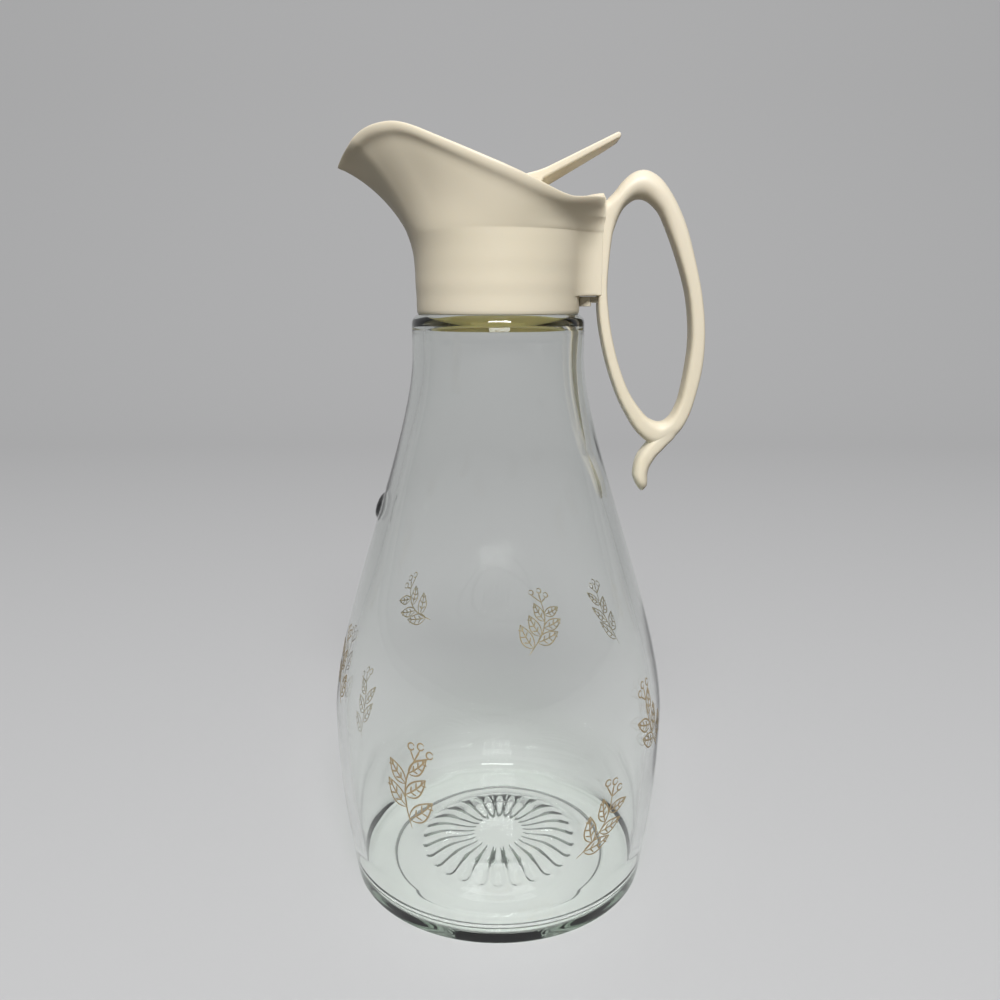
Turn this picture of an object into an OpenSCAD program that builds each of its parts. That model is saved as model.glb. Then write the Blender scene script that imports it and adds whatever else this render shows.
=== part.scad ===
// Glass serving carafe with a screw-on pouring head, flip lid and loop handle.
// Origin: centre of the foot, on the table. +Z up, spout towards -X, handle towards +X. Millimetres.

/* [Glass carafe] */
// Radius of the foot
foot_r = 58.2; // [54:0.5:62]
// Radius of the belly
belly_r = 65.1; // [62:0.5:70]
// Height of the widest part of the belly
belly_h = 69; // [60:1:80]
// Outer radius of the neck
neck_r = 32; // [31:0.1:34]
// Height where the cone of the body has become the neck
neck_h = 208; // [200:1:212]
// Height of the shoulder that the collar stands over
shoulder_h = 223.4; // [220:0.5:230]
// Rounding of the shoulder's outer corner
shoulder_round = 3.4; // [2:0.1:3.8]
// Wall of the body
glass_wall = 4; // [3:0.1:6]
// Wall of the neck
neck_wall = 4.4; // [3.5:0.1:5]
// Thickness of the floor
floor_t = 6; // [5:0.5:9]
// Height of the threaded rim above the shoulder
rim_h = 21.6; // [20:0.2:24]
// Wall of the threaded rim behind its thread
rim_wall = 1.7; // [1.5:0.1:2.2]
// Inner radius of the ring that the foot stands on
foot_ring_r = 42; // [38:0.5:48]
// Depth of the hollow inside that ring
foot_hollow = 1.2; // [1:0.1:2]
// Number of ribs of the pressed star under the floor
star_ribs = 26; // [12:1:30]
// Radius of the star
star_r = 31; // [24:0.5:36]
// Radius of the star's plain centre
star_hub_r = 10.5; // [9:0.5:14]
// Height of the star's ribs
star_rib_h = 0.8; // [0.5:0.1:0.9]
// Radius of the ball that forms the small glass button
button_r = 4.3; // [4:0.1:5]
// How far the button stands proud of the glass
button_proud = 1.8; // [1.2:0.1:2.2]
// Height of the button
button_h = 150; // [130:1:170]

/* [Screw thread] */
// Pitch of the thread
pitch = 7; // [6.5:0.1:8]
// Turns of the thread
turns = 1.5; // [1.25:0.25:1.5]
// Depth of a ridge
ridge_depth = 1; // [0.8:0.1:1.1]
// Height of a ridge at its root
ridge_root_h = 2.4; // [2:0.1:2.6]
// Height of a ridge at its crest
ridge_crest_h = 1.2; // [0.8:0.1:1.6]
// Radial clearance of the thread
thread_gap = 0.3; // [0.25:0.05:0.4]

/* [Seal sleeve] */
// Wall of the skirt
sleeve_wall = 1.8; // [1.4:0.1:2.4]
// Length of the skirt below the rim
sleeve_len = 28.2; // [20:0.2:30]
// Thickness of the flange on the rim
flange_t = 1.5; // [1:0.1:2]
// Narrowing of the skirt at its lower end
sleeve_taper = 0.5; // [0.2:0.1:1]
// Free space between the skirt and the bore of the rim
sleeve_gap = 0.3; // [0.25:0.05:0.5]
// Free space above and below the flange
flange_gap = 0.1; // [0.05:0.05:0.2]

/* [Pouring head] */
// Outer radius of the collar at its lower edge
collar_r = 30.1; // [29.6:0.1:30.8]
// Gain in the collar's radius up to the crease
collar_flare = 0.9; // [0.6:0.1:1.2]
// Wall of the collar
collar_wall = 1.6; // [1.4:0.1:1.8]
// Gap between the collar and the glass shoulder
collar_gap = 0.3; // [0.2:0.1:0.6]
// Thickness of the deck above the seal
deck_t = 1.8; // [1.5:0.1:2.5]
// Radius of the opening in the deck
deck_hole_r = 23.6; // [22:0.1:24]
// Height of the crease above the deck
crease_up = 2.9; // [2.5:0.1:4]
// Wall of the head above the crease
head_wall = 2; // [1.7:0.1:2.4]
// Reach of the spout from the axis
spout_reach = 57.6; // [54:0.2:61]
// Half width of the rim over the axis
rim_half_w = 32.8; // [32.4:0.1:34]
// Reach of the rim at the back
rim_back = 33.4; // [33:0.1:34]
// Height of the spout's lip above the crease
lip_up = 22.7; // [20:0.1:25]
// Height of the rim's crest above the crease
crest_up = 35.2; // [33:0.1:37]
// Distance of the crest in front of the axis
crest_x = 35.5; // [33:0.5:38]
// Height of the rim's valley above the crease
valley_up = 11; // [10:0.1:12]
// Distance of the valley behind the axis
valley_x = 24.5; // [23:0.1:26]
// Rise of the rim from the valley to the back
back_rise = 2.8; // [2:0.1:3.5]

/* [Lid] */
// Thickness of the flap
lid_t = 1.8; // [1.5:0.1:2.2]
// Gap between the flap and the head's wall
lid_gap = 0.8; // [0.6:0.1:1.2]
// Depth of the flap's edge below the rim
lid_drop = 1.2; // [1:0.1:1.6]
// Rise of the flap's crown
lid_crown = 2.5; // [1.5:0.1:3]
// Length of the thumb lever along its slope
lever_len = 29; // [25:0.5:30]
// Width of the thumb lever
lever_w = 15; // [12:0.5:18]
// Thickness of the lever at its root
lever_root_t = 4.2; // [3.5:0.1:5]
// Thickness of the lever at its tip
lever_tip_t = 2; // [1.6:0.1:2.6]
// Slope of the lever
lever_slope = 24.8; // [22:0.2:27]

/* [Hinge] */
// Diameter of the hinge pin
pin_d = 2.2; // [2:0.1:2.4]
// Length of the hinge pin
pin_len = 35; // [33:0.5:36]
// Distance of the pin behind the axis
hinge_x = 22.5; // [22:0.1:23]
// Depth of the pin below the rim's valley
hinge_down = 5.8; // [5.7:0.1:6.4]
// Outer radius of the lid's barrel
barrel_r = 2.7; // [2.4:0.1:2.8]
// Length of the lid's barrel
barrel_len = 27.6; // [24:0.2:28]
// Outer radius of the head's pin bosses
pin_boss_r = 2.5; // [2.3:0.1:2.6]
// Gap at each end of the barrel
barrel_end_gap = 0.4; // [0.3:0.1:0.8]
// Radial clearance around the pin
pin_gap = 0.08; // [0.05:0.01:0.1]
// Free space at each end of the pin in its blind bosses
pin_end_gap = 0.3; // [0.2:0.1:0.6]

/* [Handle] */
// Distance of the head's back face from the axis
back_face_x = 36.5; // [36.2:0.1:38]
// Half width of the back face
back_face_half_w = 5.6; // [5.4:0.1:6.4]
// Angle round the collar at which the boss's hollow flanks begin
flank_angle = 26; // [24:0.5:32]
// How far the rim's ledge stands over the limb
ledge_l = 2.1; // [1:0.1:2.2]
// Height of the back boss's lower edge above the collar's
boss_up = 5.5; // [5:0.1:8]
// Half width of the rail's inner plate
rail_half_w = 3.7; // [3.3:0.1:4]
// Thickness of the rail's inner plate
rail_t = 2.6; // [2.2:0.1:2.8]
// Half width of the rail's neck
rail_neck_half_w = 2; // [1.6:0.1:2.4]
// Length of the rail's neck between plate and limb
rail_neck_l = 2.8; // [2.6:0.1:3]
// Clearance of the rail in its slot
rail_gap = 0.15; // [0.1:0.05:0.2]
// How far the rail's foot stands below the boss
rail_foot = 2.8; // [2:0.1:4]
// Width of the loop across the object
loop_w = 10.8; // [9:0.2:11.2]
// Gap between the loop's limb and the back face
limb_gap = 0.2; // [0.1:0.05:0.4]
// Reach of the grip's outer side from the back face
grip_reach = 40.2; // [38:0.2:43]
// Height of the loop, lowest point to highest
loop_h = 99.5; // [94:0.5:105]
// Height of the loop's top above the valley of the rim
loop_top_up = 11; // [10:0.1:12]

/* [Hidden] */
$fn = 96;
EPS = 0.02;

// ---- heights and radii that several pieces share ----
glass_top = shoulder_h + rim_h;
collar_bottom = shoulder_h + collar_gap;
collar_bore_r = collar_r - collar_wall;
glass_crest_r = collar_bore_r - thread_gap;
glass_root_r = glass_crest_r - ridge_depth;
head_crest_r = glass_root_r + thread_gap;
rim_bore_r = glass_root_r - rim_wall;
neck_bore_r = neck_r - neck_wall;
sleeve_r = rim_bore_r - sleeve_gap;
flange_top = glass_top + flange_gap + flange_t;
deck_z = flange_top + flange_gap;
crease_z = deck_z + deck_t + crease_up;
crease_r = collar_r + collar_flare;
thread_z = shoulder_h + 6.4;
thread_down = ridge_root_h + thread_gap;
valley_z = crease_z + valley_up;
hinge_z = valley_z - hinge_down;
boss_bottom = collar_bottom + boss_up;
rail_x = back_face_x - rail_neck_l - rail_t;

// ---- curves ----
function mix(a, b, t) = a + (b - a) * t;
function clamp01(t) = min(1, max(0, t));

// Cubic Bezier point between p0 and p3
function bezier(p0, p1, p2, p3, t) =
    p0 * pow(1 - t, 3) + p1 * 3 * t * pow(1 - t, 2) + p2 * 3 * t * t * (1 - t) + p3 * pow(t, 3);

function bezier_run(p0, p1, p2, p3, n) = [for (i = [1:n]) bezier(p0, p1, p2, p3, i / n)];

// Cubic through knots of [x, height, slope]
function hermite(a, b, x) =
    let (h = b[0] - a[0], t = (x - a[0]) / h)
    a[1] * (1 + 2 * t) * pow(1 - t, 2) + h * a[2] * t * pow(1 - t, 2)
    + b[1] * t * t * (3 - 2 * t) + h * b[2] * t * t * (t - 1);

function along(knots, x, i = 0) =
    (i >= len(knots) - 2 || x <= knots[i + 1][0])
        ? hermite(knots[i], knots[i + 1], x)
        : along(knots, x, i + 1);

// Closed smooth curve through rows of numbers (Catmull-Rom)
function loop_at(rows, s) =
    let (n = len(rows), i = floor(s), t = s - i,
         a = rows[(i + n - 1) % n], b = rows[i % n], c = rows[(i + 1) % n], d = rows[(i + 2) % n])
    0.5 * (2 * b + (c - a) * t + (2 * a - 5 * b + 4 * c - d) * t * t + (3 * b - a - 3 * c + d) * t * t * t);

function arc(cx, cy, r, from, to, n = 8) =
    [for (i = [0:n]) let (a = mix(from, to, i / n)) [cx + r * cos(a), cy + r * sin(a)]];

// Skin over rings of equal length; a closed run joins its last ring to its first. Ends of a flat strip, whose rings
// run along one side and back along the other, are closed from side to side
module skin(rings, closed = false, strip = false) {
    n = len(rings[0]);
    m = len(rings);
    last = closed ? m - 1 : m - 2;
    sides = [
        for (j = [0:last], i = [0:n - 1])
            let (a = j * n + i, b = j * n + (i + 1) % n,
                 c = ((j + 1) % m) * n + (i + 1) % n, d = ((j + 1) % m) * n + i)
            each [[a, b, c], [a, c, d]]
    ];
    caps = closed ? [] : strip ? [
        for (i = [0:n / 2 - 2])
            let (a = i, b = i + 1, c = n - 2 - i, d = n - 1 - i, end = (m - 1) * n)
            each [[c, b, a], [d, c, a], [end + a, end + b, end + c], [end + a, end + c, end + d]]
    ] : [
        [for (i = [n - 1:-1:0]) i],
        [for (i = [0:n - 1]) (m - 1) * n + i]
    ];
    polyhedron(points = [for (r = rings) each r], faces = concat(sides, caps), convexity = 8);
}

// Helical ridge: trapezoid of four corners carried up the pitch, fading in at both ends
module ridge(root_r, crest_r, z0, sink) {
    steps = ceil(turns * 36);
    inward = crest_r < root_r ? -1 : 1;
    rings = [
        for (i = [0:steps])
            let (a = i / steps * turns * 360, z = z0 + pitch * a / 360,
                 grow = clamp01(min(i, steps - i) / 3 + 0.15),
                 r_in = root_r - inward * sink, r_out = mix(root_r, crest_r, grow),
                 half_root = ridge_root_h / 2, half_crest = ridge_crest_h / 2)
            [for (p = [[r_in, -half_root], [r_out, -half_crest], [r_out, half_crest], [r_in, half_root]])
                [p[0] * cos(a), p[0] * sin(a), z + p[1]]]
    ];
    skin(inward > 0 ? rings : [for (r = rings) [r[3], r[2], r[1], r[0]]]);
}

// ---- glass ----
lower_curve = bezier_run([foot_r, 2], [foot_r + 2.6, 20], [belly_r, belly_h - 30], [belly_r, belly_h], 10);
upper_curve = bezier_run([belly_r, belly_h], [belly_r, belly_h + 34], [neck_r, neck_h - 30], [neck_r, neck_h], 20);
body_outline = concat(lower_curve, upper_curve);

function inset_at(p) = mix(glass_wall, neck_wall, clamp01((p[1] - belly_h) / (neck_h - belly_h)));

module glass_outline() {
    inside = [
        for (i = [len(body_outline) - 1:-1:0])
            let (p = body_outline[i])
            if (p[1] > floor_t + 4) [p[0] - inset_at(p), p[1]]
    ];
    polygon(concat(
        [[foot_ring_r, 0], [foot_r - 2, 0]],
        body_outline,
        arc(neck_r - shoulder_round, shoulder_h - shoulder_round, shoulder_round, 0, 90),
        [[glass_root_r, shoulder_h], [glass_root_r, glass_top - 0.5], [glass_root_r - 0.5, glass_top],
         [rim_bore_r, glass_top], [rim_bore_r, shoulder_h + 0.6], [neck_bore_r, shoulder_h - 1.6]],
        inside,
        [[foot_r - glass_wall - 2, floor_t], [0, floor_t],
         [0, foot_hollow], [foot_ring_r - 2, foot_hollow]]
    ));
}

// One rib of the star: a petal that widens outwards and ends in a round
module star_rib() {
    half_in = PI * star_hub_r / star_ribs * 0.6;
    half_out = PI * star_r / star_ribs * 0.68;
    end_x = star_r - half_out;
    linear_extrude(height = star_rib_h + 1)
        polygon(concat([[star_hub_r, half_in], [star_hub_r, -half_in]], arc(end_x, 0, half_out, -80, 80, 6)));
}

module glass_carafe() {
    color([0.86, 0.92, 0.88, 0.45]) union() {
        rotate_extrude() glass_outline();
        for (i = [0:star_ribs - 1])
            rotate([0, 0, i * 360 / star_ribs]) translate([0, 0, foot_hollow - star_rib_h]) star_rib();
        ridge(glass_root_r, glass_crest_r, thread_z, 0.4);
        glass_button();
    }
}

// Height-to-radius along the cone, from the outline's own points
function cone_r(z, i = 0) =
    body_outline[i + 1][1] >= z
        ? mix(body_outline[i][0], body_outline[i + 1][0],
              (z - body_outline[i][1]) / (body_outline[i + 1][1] - body_outline[i][1]))
        : cone_r(z, i + 1);

module glass_button() {
    translate([-cone_r(button_h) - button_proud + button_r, 0, button_h]) sphere(r = button_r, $fn = 48);
}

// ---- seal ----
module seal_sleeve() {
    bottom = glass_top - sleeve_len;
    color([0.72, 0.66, 0.38]) rotate_extrude() polygon([
        [sleeve_r - sleeve_wall, bottom],
        [sleeve_r - sleeve_taper, bottom],
        [sleeve_r, bottom + 6],
        [sleeve_r, glass_top + flange_gap],
        [glass_root_r - 0.2, glass_top + flange_gap],
        [glass_root_r - 0.2, flange_top],
        [sleeve_r - sleeve_wall, flange_top]
    ]);
}

// ---- pouring head ----
// Height of the rim along the object's length
rim_knots = [
    [-spout_reach, crease_z + lip_up, 0.6],
    [-spout_reach + 8.6, crease_z + lip_up + 8.4, 0.95],
    [-crest_x, crease_z + crest_up, 0],
    [-crest_x + 15.5, crease_z + crest_up - 5.2, -0.463],
    [valley_x - 9.5, valley_z + 2.8, -0.463],
    [valley_x, valley_z, 0],
    [rim_back, valley_z + back_rise, 0.3]
];
function rim_z(x) = along(rim_knots, x);

// Plan of the rim: half ellipse behind the axis, drawn-out beak in front of it
beak_long = 1.25;
beak_side = 1.5;
function rim_plan(a, inset) =
    cos(a) >= 0
        ? [(rim_back - inset) * cos(a), (rim_half_w - inset) * sin(a)]
        : [-(spout_reach - 1.1 * inset) * pow(-cos(a), beak_long),
           (rim_half_w - inset) * sign(sin(a)) * pow(abs(sin(a)), beak_side)];

// Half width of the rim's plan at a place along the object
function rim_half_at(x, inset) =
    x > 0
        ? (rim_half_w - inset) * sqrt(max(0, 1 - pow(x / (rim_back - inset), 2)))
        : (rim_half_w - inset) * pow(max(0, 1 - pow(-x / (spout_reach - 1.1 * inset), 2 / beak_long)), beak_side / 2);

// One upright line of the wall, foot at the collar and head at the rim
wall_sink = 0.5;
crease_step = 0.3;
function wall_line(a, inset, foot_r, t) =
    let (plan = rim_plan(a, inset),
         foot = [foot_r * cos(a), foot_r * sin(a), crease_z - wall_sink],
         top = [plan[0], plan[1], rim_z(plan[0])],
         out = [top[0] - foot[0], top[1] - foot[1], 0],
         beak = clamp01((norm(plan) - rim_half_w) / (spout_reach - rim_half_w)),
         lift = beak * inset * 0.9)
    bezier(foot,
           foot + out * mix(0.3, 0.085, beak) + [0, 0, mix(4, 5, beak) + lift],
           top - out * 0.56 - [0, 0, mix(4, 5.6, beak) - lift],
           top, t);

WALL_SECTORS = 48;
WALL_LEVELS = 8;
module wall_shell() {
    function ring(inset, foot_r, t) =
        [for (i = [0:WALL_SECTORS - 1]) wall_line(i * 360 / WALL_SECTORS, inset, foot_r, t)];
    outside = [for (j = [WALL_LEVELS:-1:0]) ring(0, crease_r - crease_step, j / WALL_LEVELS)];
    inside = [for (j = [0:WALL_LEVELS]) ring(head_wall, crease_r - head_wall + crease_step, j / WALL_LEVELS)];
    skin(concat(outside, inside), closed = true);
}

module collar() {
    rotate_extrude() polygon([
        [collar_bore_r, collar_bottom],
        [collar_r - 0.4, collar_bottom],
        [collar_r, collar_bottom + 0.4],
        [crease_r, crease_z],
        [crease_r - head_wall, crease_z],
        [crease_r - head_wall, deck_z + deck_t],
        [deck_hole_r, deck_z + deck_t],
        [deck_hole_r, deck_z],
        [collar_bore_r, deck_z]
    ]);
}

// Boss behind the collar: hollow flanks run into its wall, back face flat for the handle's limb,
// the rim carried over it as a ledge
module back_boss() {
    root_r = collar_r - 0.5;
    root = root_r * [cos(flank_angle), sin(flank_angle)];
    corner = [back_face_x, back_face_half_w];
    bend = [mix(root[0], corner[0], 0.4), corner[1] + 1.4];
    flank = [for (t = [0:0.25:1]) root * pow(1 - t, 2) + bend * 2 * t * (1 - t) + corner * t * t];
    top = valley_z + back_rise + 0.7;
    difference() {
        union() {
            translate([0, 0, boss_bottom]) linear_extrude(height = top - boss_bottom)
                polygon(concat([[0, 0]], [for (p = flank) [p[0], -p[1]]],
                               [for (i = [len(flank) - 1:-1:0]) flank[i]]));
            translate([back_face_x - 1, -back_face_half_w, valley_z + 1])
                cube([1 + ledge_l, 2 * back_face_half_w, top - valley_z - 1]);
        }
        translate([0, 0, boss_bottom - 1]) cylinder(r = crease_r - head_wall, h = 60);
        translate([valley_x, -40, valley_z]) rotate([0, -atan(back_rise / (rim_back - valley_x)), 0])
            translate([-40, 0, 0]) cube([80, 80, 20]);
    }
}

module rail_shape(extra) {
    translate([rail_x - extra, -rail_half_w - extra]) square([rail_t + 2 * extra, 2 * (rail_half_w + extra)]);
    translate([rail_x + rail_t - 1, -rail_neck_half_w - extra])
        square([rail_neck_l + 1 + 1, 2 * (rail_neck_half_w + extra)]);
}

slot_top = valley_z - 2.4;
module rail_slot() {
    translate([0, 0, boss_bottom - 1]) linear_extrude(height = slot_top - boss_bottom + 1) rail_shape(rail_gap);
}

// A blind boss for the pin, on one side
module pin_boss(side) {
    inner = barrel_len / 2 + barrel_end_gap;
    outer = rim_half_at(hinge_x + pin_boss_r, head_wall) + 0.7;
    translate([hinge_x, side * inner, hinge_z]) rotate([-90 * side, 0, 0])
        cylinder(r = pin_boss_r, h = max(outer, pin_len / 2 + 0.8) - inner);
}

module pin_bore(length) {
    translate([hinge_x, length / 2, hinge_z]) rotate([90, 0, 0])
        cylinder(d = pin_d + 2 * pin_gap, h = length);
}

module pouring_head() {
    color([0.9, 0.86, 0.76]) union() {
        difference() {
            union() {
                collar();
                wall_shell();
                back_boss();
                pin_boss(1);
                pin_boss(-1);
            }
            rail_slot();
            pin_bore(pin_len + 2 * pin_end_gap);
        }
        ridge(collar_bore_r, head_crest_r, thread_z - thread_down, 0.4);
    }
}

// ---- lid ----
// Room at the sides: more where the beak flares and where the back corners swing
lid_front = spout_reach - 1.1 * head_wall - lid_gap - 4;
lid_back = hinge_x - 3;
function lid_half_w(x) =
    rim_half_at(x, head_wall) - lid_gap
    - (x < 0 ? mix(0, 2.4, clamp01((-x - 8) / 22)) : mix(0, 3.8, clamp01((x + 4) / 20)));
function lid_top(x, y, w) = rim_z(x) - lid_drop + lid_crown * min(1, w / 14) * (1 - pow(y / w, 2));

LID_STATIONS = 22;
LID_ACROSS = 8;
module flap() {
    skin([
        for (j = [0:LID_STATIONS])
            let (x = mix(-lid_front, lid_back, j / LID_STATIONS), w = lid_half_w(x))
            concat(
                [for (i = [0:LID_ACROSS]) let (y = mix(-w, w, i / LID_ACROSS)) [x, y, lid_top(x, y, w)]],
                [for (i = [LID_ACROSS:-1:0]) let (y = mix(-w, w, i / LID_ACROSS)) [x, y, lid_top(x, y, w) - lid_t]]
            )
    ], strip = true);
}

lever_x = valley_x - 7.4;
lever_z = valley_z + 10.6;
module lever() {
    run = [cos(lever_slope), sin(lever_slope)];
    up = [-sin(lever_slope), cos(lever_slope)];
    root = [lever_x, lever_z];
    tip = root + run * (lever_len - lever_tip_t / 2);
    translate([0, lever_w / 2, 0]) rotate([90, 0, 0]) linear_extrude(height = lever_w) polygon(concat(
        [[lever_x - 12, rim_z(lever_x - 12) - lid_drop + lid_crown - lid_t / 2], root],
        arc(tip[0] - up[0] * lever_tip_t / 2, tip[1] - up[1] * lever_tip_t / 2, lever_tip_t / 2,
            lever_slope + 90, lever_slope - 90),
        [root + run * 5 - up * lever_root_t,
         [lever_x + 1.5, rim_z(lever_x + 1.5) - lid_drop + lid_crown - lid_t / 2]]
    ));
}

knuckle_half_w = barrel_len / 2 - 0.6;
knuckle_top = lid_top(lid_back, knuckle_half_w, lid_half_w(lid_back)) - 0.3;
module lid() {
    color([0.88, 0.84, 0.74]) difference() {
        union() {
            flap();
            lever();
            translate([hinge_x, barrel_len / 2, hinge_z]) rotate([90, 0, 0]) cylinder(r = barrel_r, h = barrel_len);
            translate([lid_back - 2.6, -knuckle_half_w, hinge_z])
                cube([hinge_x - lid_back + 2.6, 2 * knuckle_half_w, knuckle_top - hinge_z]);
        }
        pin_bore(barrel_len + 2);
    }
}

module hinge_pin() {
    color([0.7, 0.7, 0.68])
        translate([hinge_x, pin_len / 2, hinge_z]) rotate([90, 0, 0]) cylinder(d = pin_d, h = pin_len);
}

// ---- handle ----
loop_bottom = valley_z + loop_top_up - loop_h;

// The loop as pairs of edge points, outer then inner, in percent of the reach and of the height
loop_rows = [
    [0, 77, 12, 76.5],
    [0, 67.5, 9.5, 67],
    [0, 58, 8.7, 57.8],
    [0.6, 49.6, 10.6, 49.6],
    [4, 40.5, 14.2, 40.8],
    [10.5, 30, 21, 30.6],
    [20, 19.1, 30.3, 21.2],
    [30.4, 10.8, 40.5, 14.8],
    [41, 4.5, 50, 10.6],
    [54.2, 0.5, 59.5, 8.8],
    [68, 1, 66.4, 9.2],
    [79.9, 5, 72.4, 11.3],
    [88.3, 11.3, 76.9, 14.8],
    [94, 19.3, 80.3, 19.2],
    [98.6, 28.7, 84, 28.4],
    [100, 37.8, 86.3, 37.5],
    [98.8, 47, 85.4, 46.8],
    [94.6, 57.7, 81.1, 57.5],
    [87.3, 69.6, 71.9, 69],
    [80.1, 79.4, 62.7, 78],
    [71.4, 87.5, 54.5, 84.7],
    [61.7, 93.9, 47, 87.9],
    [52.5, 97.9, 41.5, 89.3],
    [41.6, 100, 36.6, 89.8],
    [31.1, 99.3, 31.6, 89.5],
    [21.6, 96.4, 26.6, 88.3],
    [14.2, 92.7, 21.6, 86.3],
    [7.7, 89.1, 17.7, 83.5],
    [1.2, 84.5, 14.7, 80.3]
];

// The curled tail under the loop, inner edge then outer edge; its first and last row only steer it
tail_rows = [
    [56, 8, 74, 9],
    [51, 2.6, 69, 2.8],
    [45, -2.3, 63.9, -2.3],
    [40.5, -5.9, 57, -6.1],
    [38.6, -9.4, 53.2, -9.4],
    [38.3, -12.4, 52.2, -12.8],
    [40.5, -15, 52.2, -15.3],
    [43.5, -16.8, 50.7, -17],
    [46.2, -18.1, 48.3, -18.2],
    [49, -19.4, 46, -19.4]
];

// Edge points of one row in millimetres
function edge_pair(row) =
    let (x0 = back_face_x + limb_gap, sx = (grip_reach - limb_gap) / 100, sz = loop_h / 100)
    [x0 + row[0] * sx, loop_bottom + row[1] * sz, x0 + row[2] * sx, loop_bottom + row[3] * sz];

// Rounded section across the limb from one edge point to the other
SECTION_SIDES = 12;
SECTION_ROUND = 0.62;
function section(p, half_w) =
    [for (i = [0:SECTION_SIDES - 1])
        let (a = -360 * i / SECTION_SIDES - 15,
             u = (1 + sign(cos(a)) * pow(abs(cos(a)), SECTION_ROUND)) / 2,
             v = sign(sin(a)) * pow(abs(sin(a)), SECTION_ROUND) * half_w)
        [mix(p[2], p[0], u), v, mix(p[3], p[1], u)]];

LOOP_STEPS = 3;
module loop_band() {
    n = len(loop_rows) * LOOP_STEPS;
    skin([for (i = [0:n - 1]) section(edge_pair(loop_at(loop_rows, i / LOOP_STEPS)), loop_w / 2)],
         closed = true);
}

module tail() {
    n = (len(tail_rows) - 3) * 2;
    skin([
        for (i = [0:n])
            let (end = sqrt(1 - pow(clamp01((i / n - 0.7) / 0.32), 2)))
            section(edge_pair(loop_at(tail_rows, 1 + i / 2)), (loop_w / 2 - 0.4) * end)
    ]);
}

module rail() {
    foot_z = boss_bottom - rail_foot;
    translate([0, 0, boss_bottom]) linear_extrude(height = slot_top - 0.3 - boss_bottom) rail_shape(0);
    translate([rail_x, -rail_half_w, foot_z]) cube([rail_t, 2 * rail_half_w, rail_foot + 1]);
    translate([rail_x, -rail_half_w - 1.4, foot_z])
        cube([rail_t, 2 * (rail_half_w + 1.4), rail_foot - rail_gap]);
}

module handle() {
    color([0.9, 0.86, 0.76]) union() {
        loop_band();
        tail();
        rail();
    }
}

glass_carafe();
seal_sleeve();
pouring_head();
lid();
hinge_pin();
handle();
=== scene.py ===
"""Glass serving carafe with a screw-on pouring head, flip lid and loop handle: shapes, finishes and stage."""

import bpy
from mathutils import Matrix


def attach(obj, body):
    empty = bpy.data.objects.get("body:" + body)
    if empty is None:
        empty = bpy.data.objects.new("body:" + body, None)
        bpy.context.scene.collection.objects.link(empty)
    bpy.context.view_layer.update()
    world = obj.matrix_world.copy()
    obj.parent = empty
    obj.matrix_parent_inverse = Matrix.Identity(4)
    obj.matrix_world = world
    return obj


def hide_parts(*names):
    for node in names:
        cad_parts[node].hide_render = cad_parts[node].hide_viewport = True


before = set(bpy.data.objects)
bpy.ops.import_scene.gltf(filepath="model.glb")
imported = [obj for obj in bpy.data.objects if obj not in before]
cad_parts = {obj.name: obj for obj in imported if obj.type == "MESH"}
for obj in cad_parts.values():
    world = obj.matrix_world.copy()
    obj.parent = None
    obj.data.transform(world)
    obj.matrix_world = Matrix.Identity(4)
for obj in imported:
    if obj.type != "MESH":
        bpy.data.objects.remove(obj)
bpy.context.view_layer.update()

import math

import bpy
import numpy as np
from bpy.props import FloatProperty, FloatVectorProperty, IntProperty, PointerProperty
from mathutils import Euler

bl_info = {
    "name": "Serving Carafe",
    "version": (1, 0, 0),
    "blender": (4, 5, 0),
    "location": "3D View > Sidebar > Carafe",
    "description": "Builds a glass serving carafe with its pouring head, lid and handle",
    "category": "Add Mesh",
}

MM = 0.001
TURN = 2 * np.pi
THREAD_PITCH = 7
THREAD_TURNS = 1.5


# ---- sizes and colours ----
def length(name, mm, description):
    """A length property whose default is given in millimetres."""
    return FloatProperty(name=name, description=description, default=mm * MM, unit="LENGTH", precision=5)


def colour(name, rgb, description):
    """A colour property in linear values."""
    return FloatVectorProperty(
        name=name, description=description, default=rgb, subtype="COLOR", size=3, min=0, max=1
    )


def angle(name, degrees, description):
    """An angle property whose default is given in degrees."""
    return FloatProperty(
        name=name, description=description, default=math.radians(degrees), subtype="ANGLE"
    )


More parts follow.
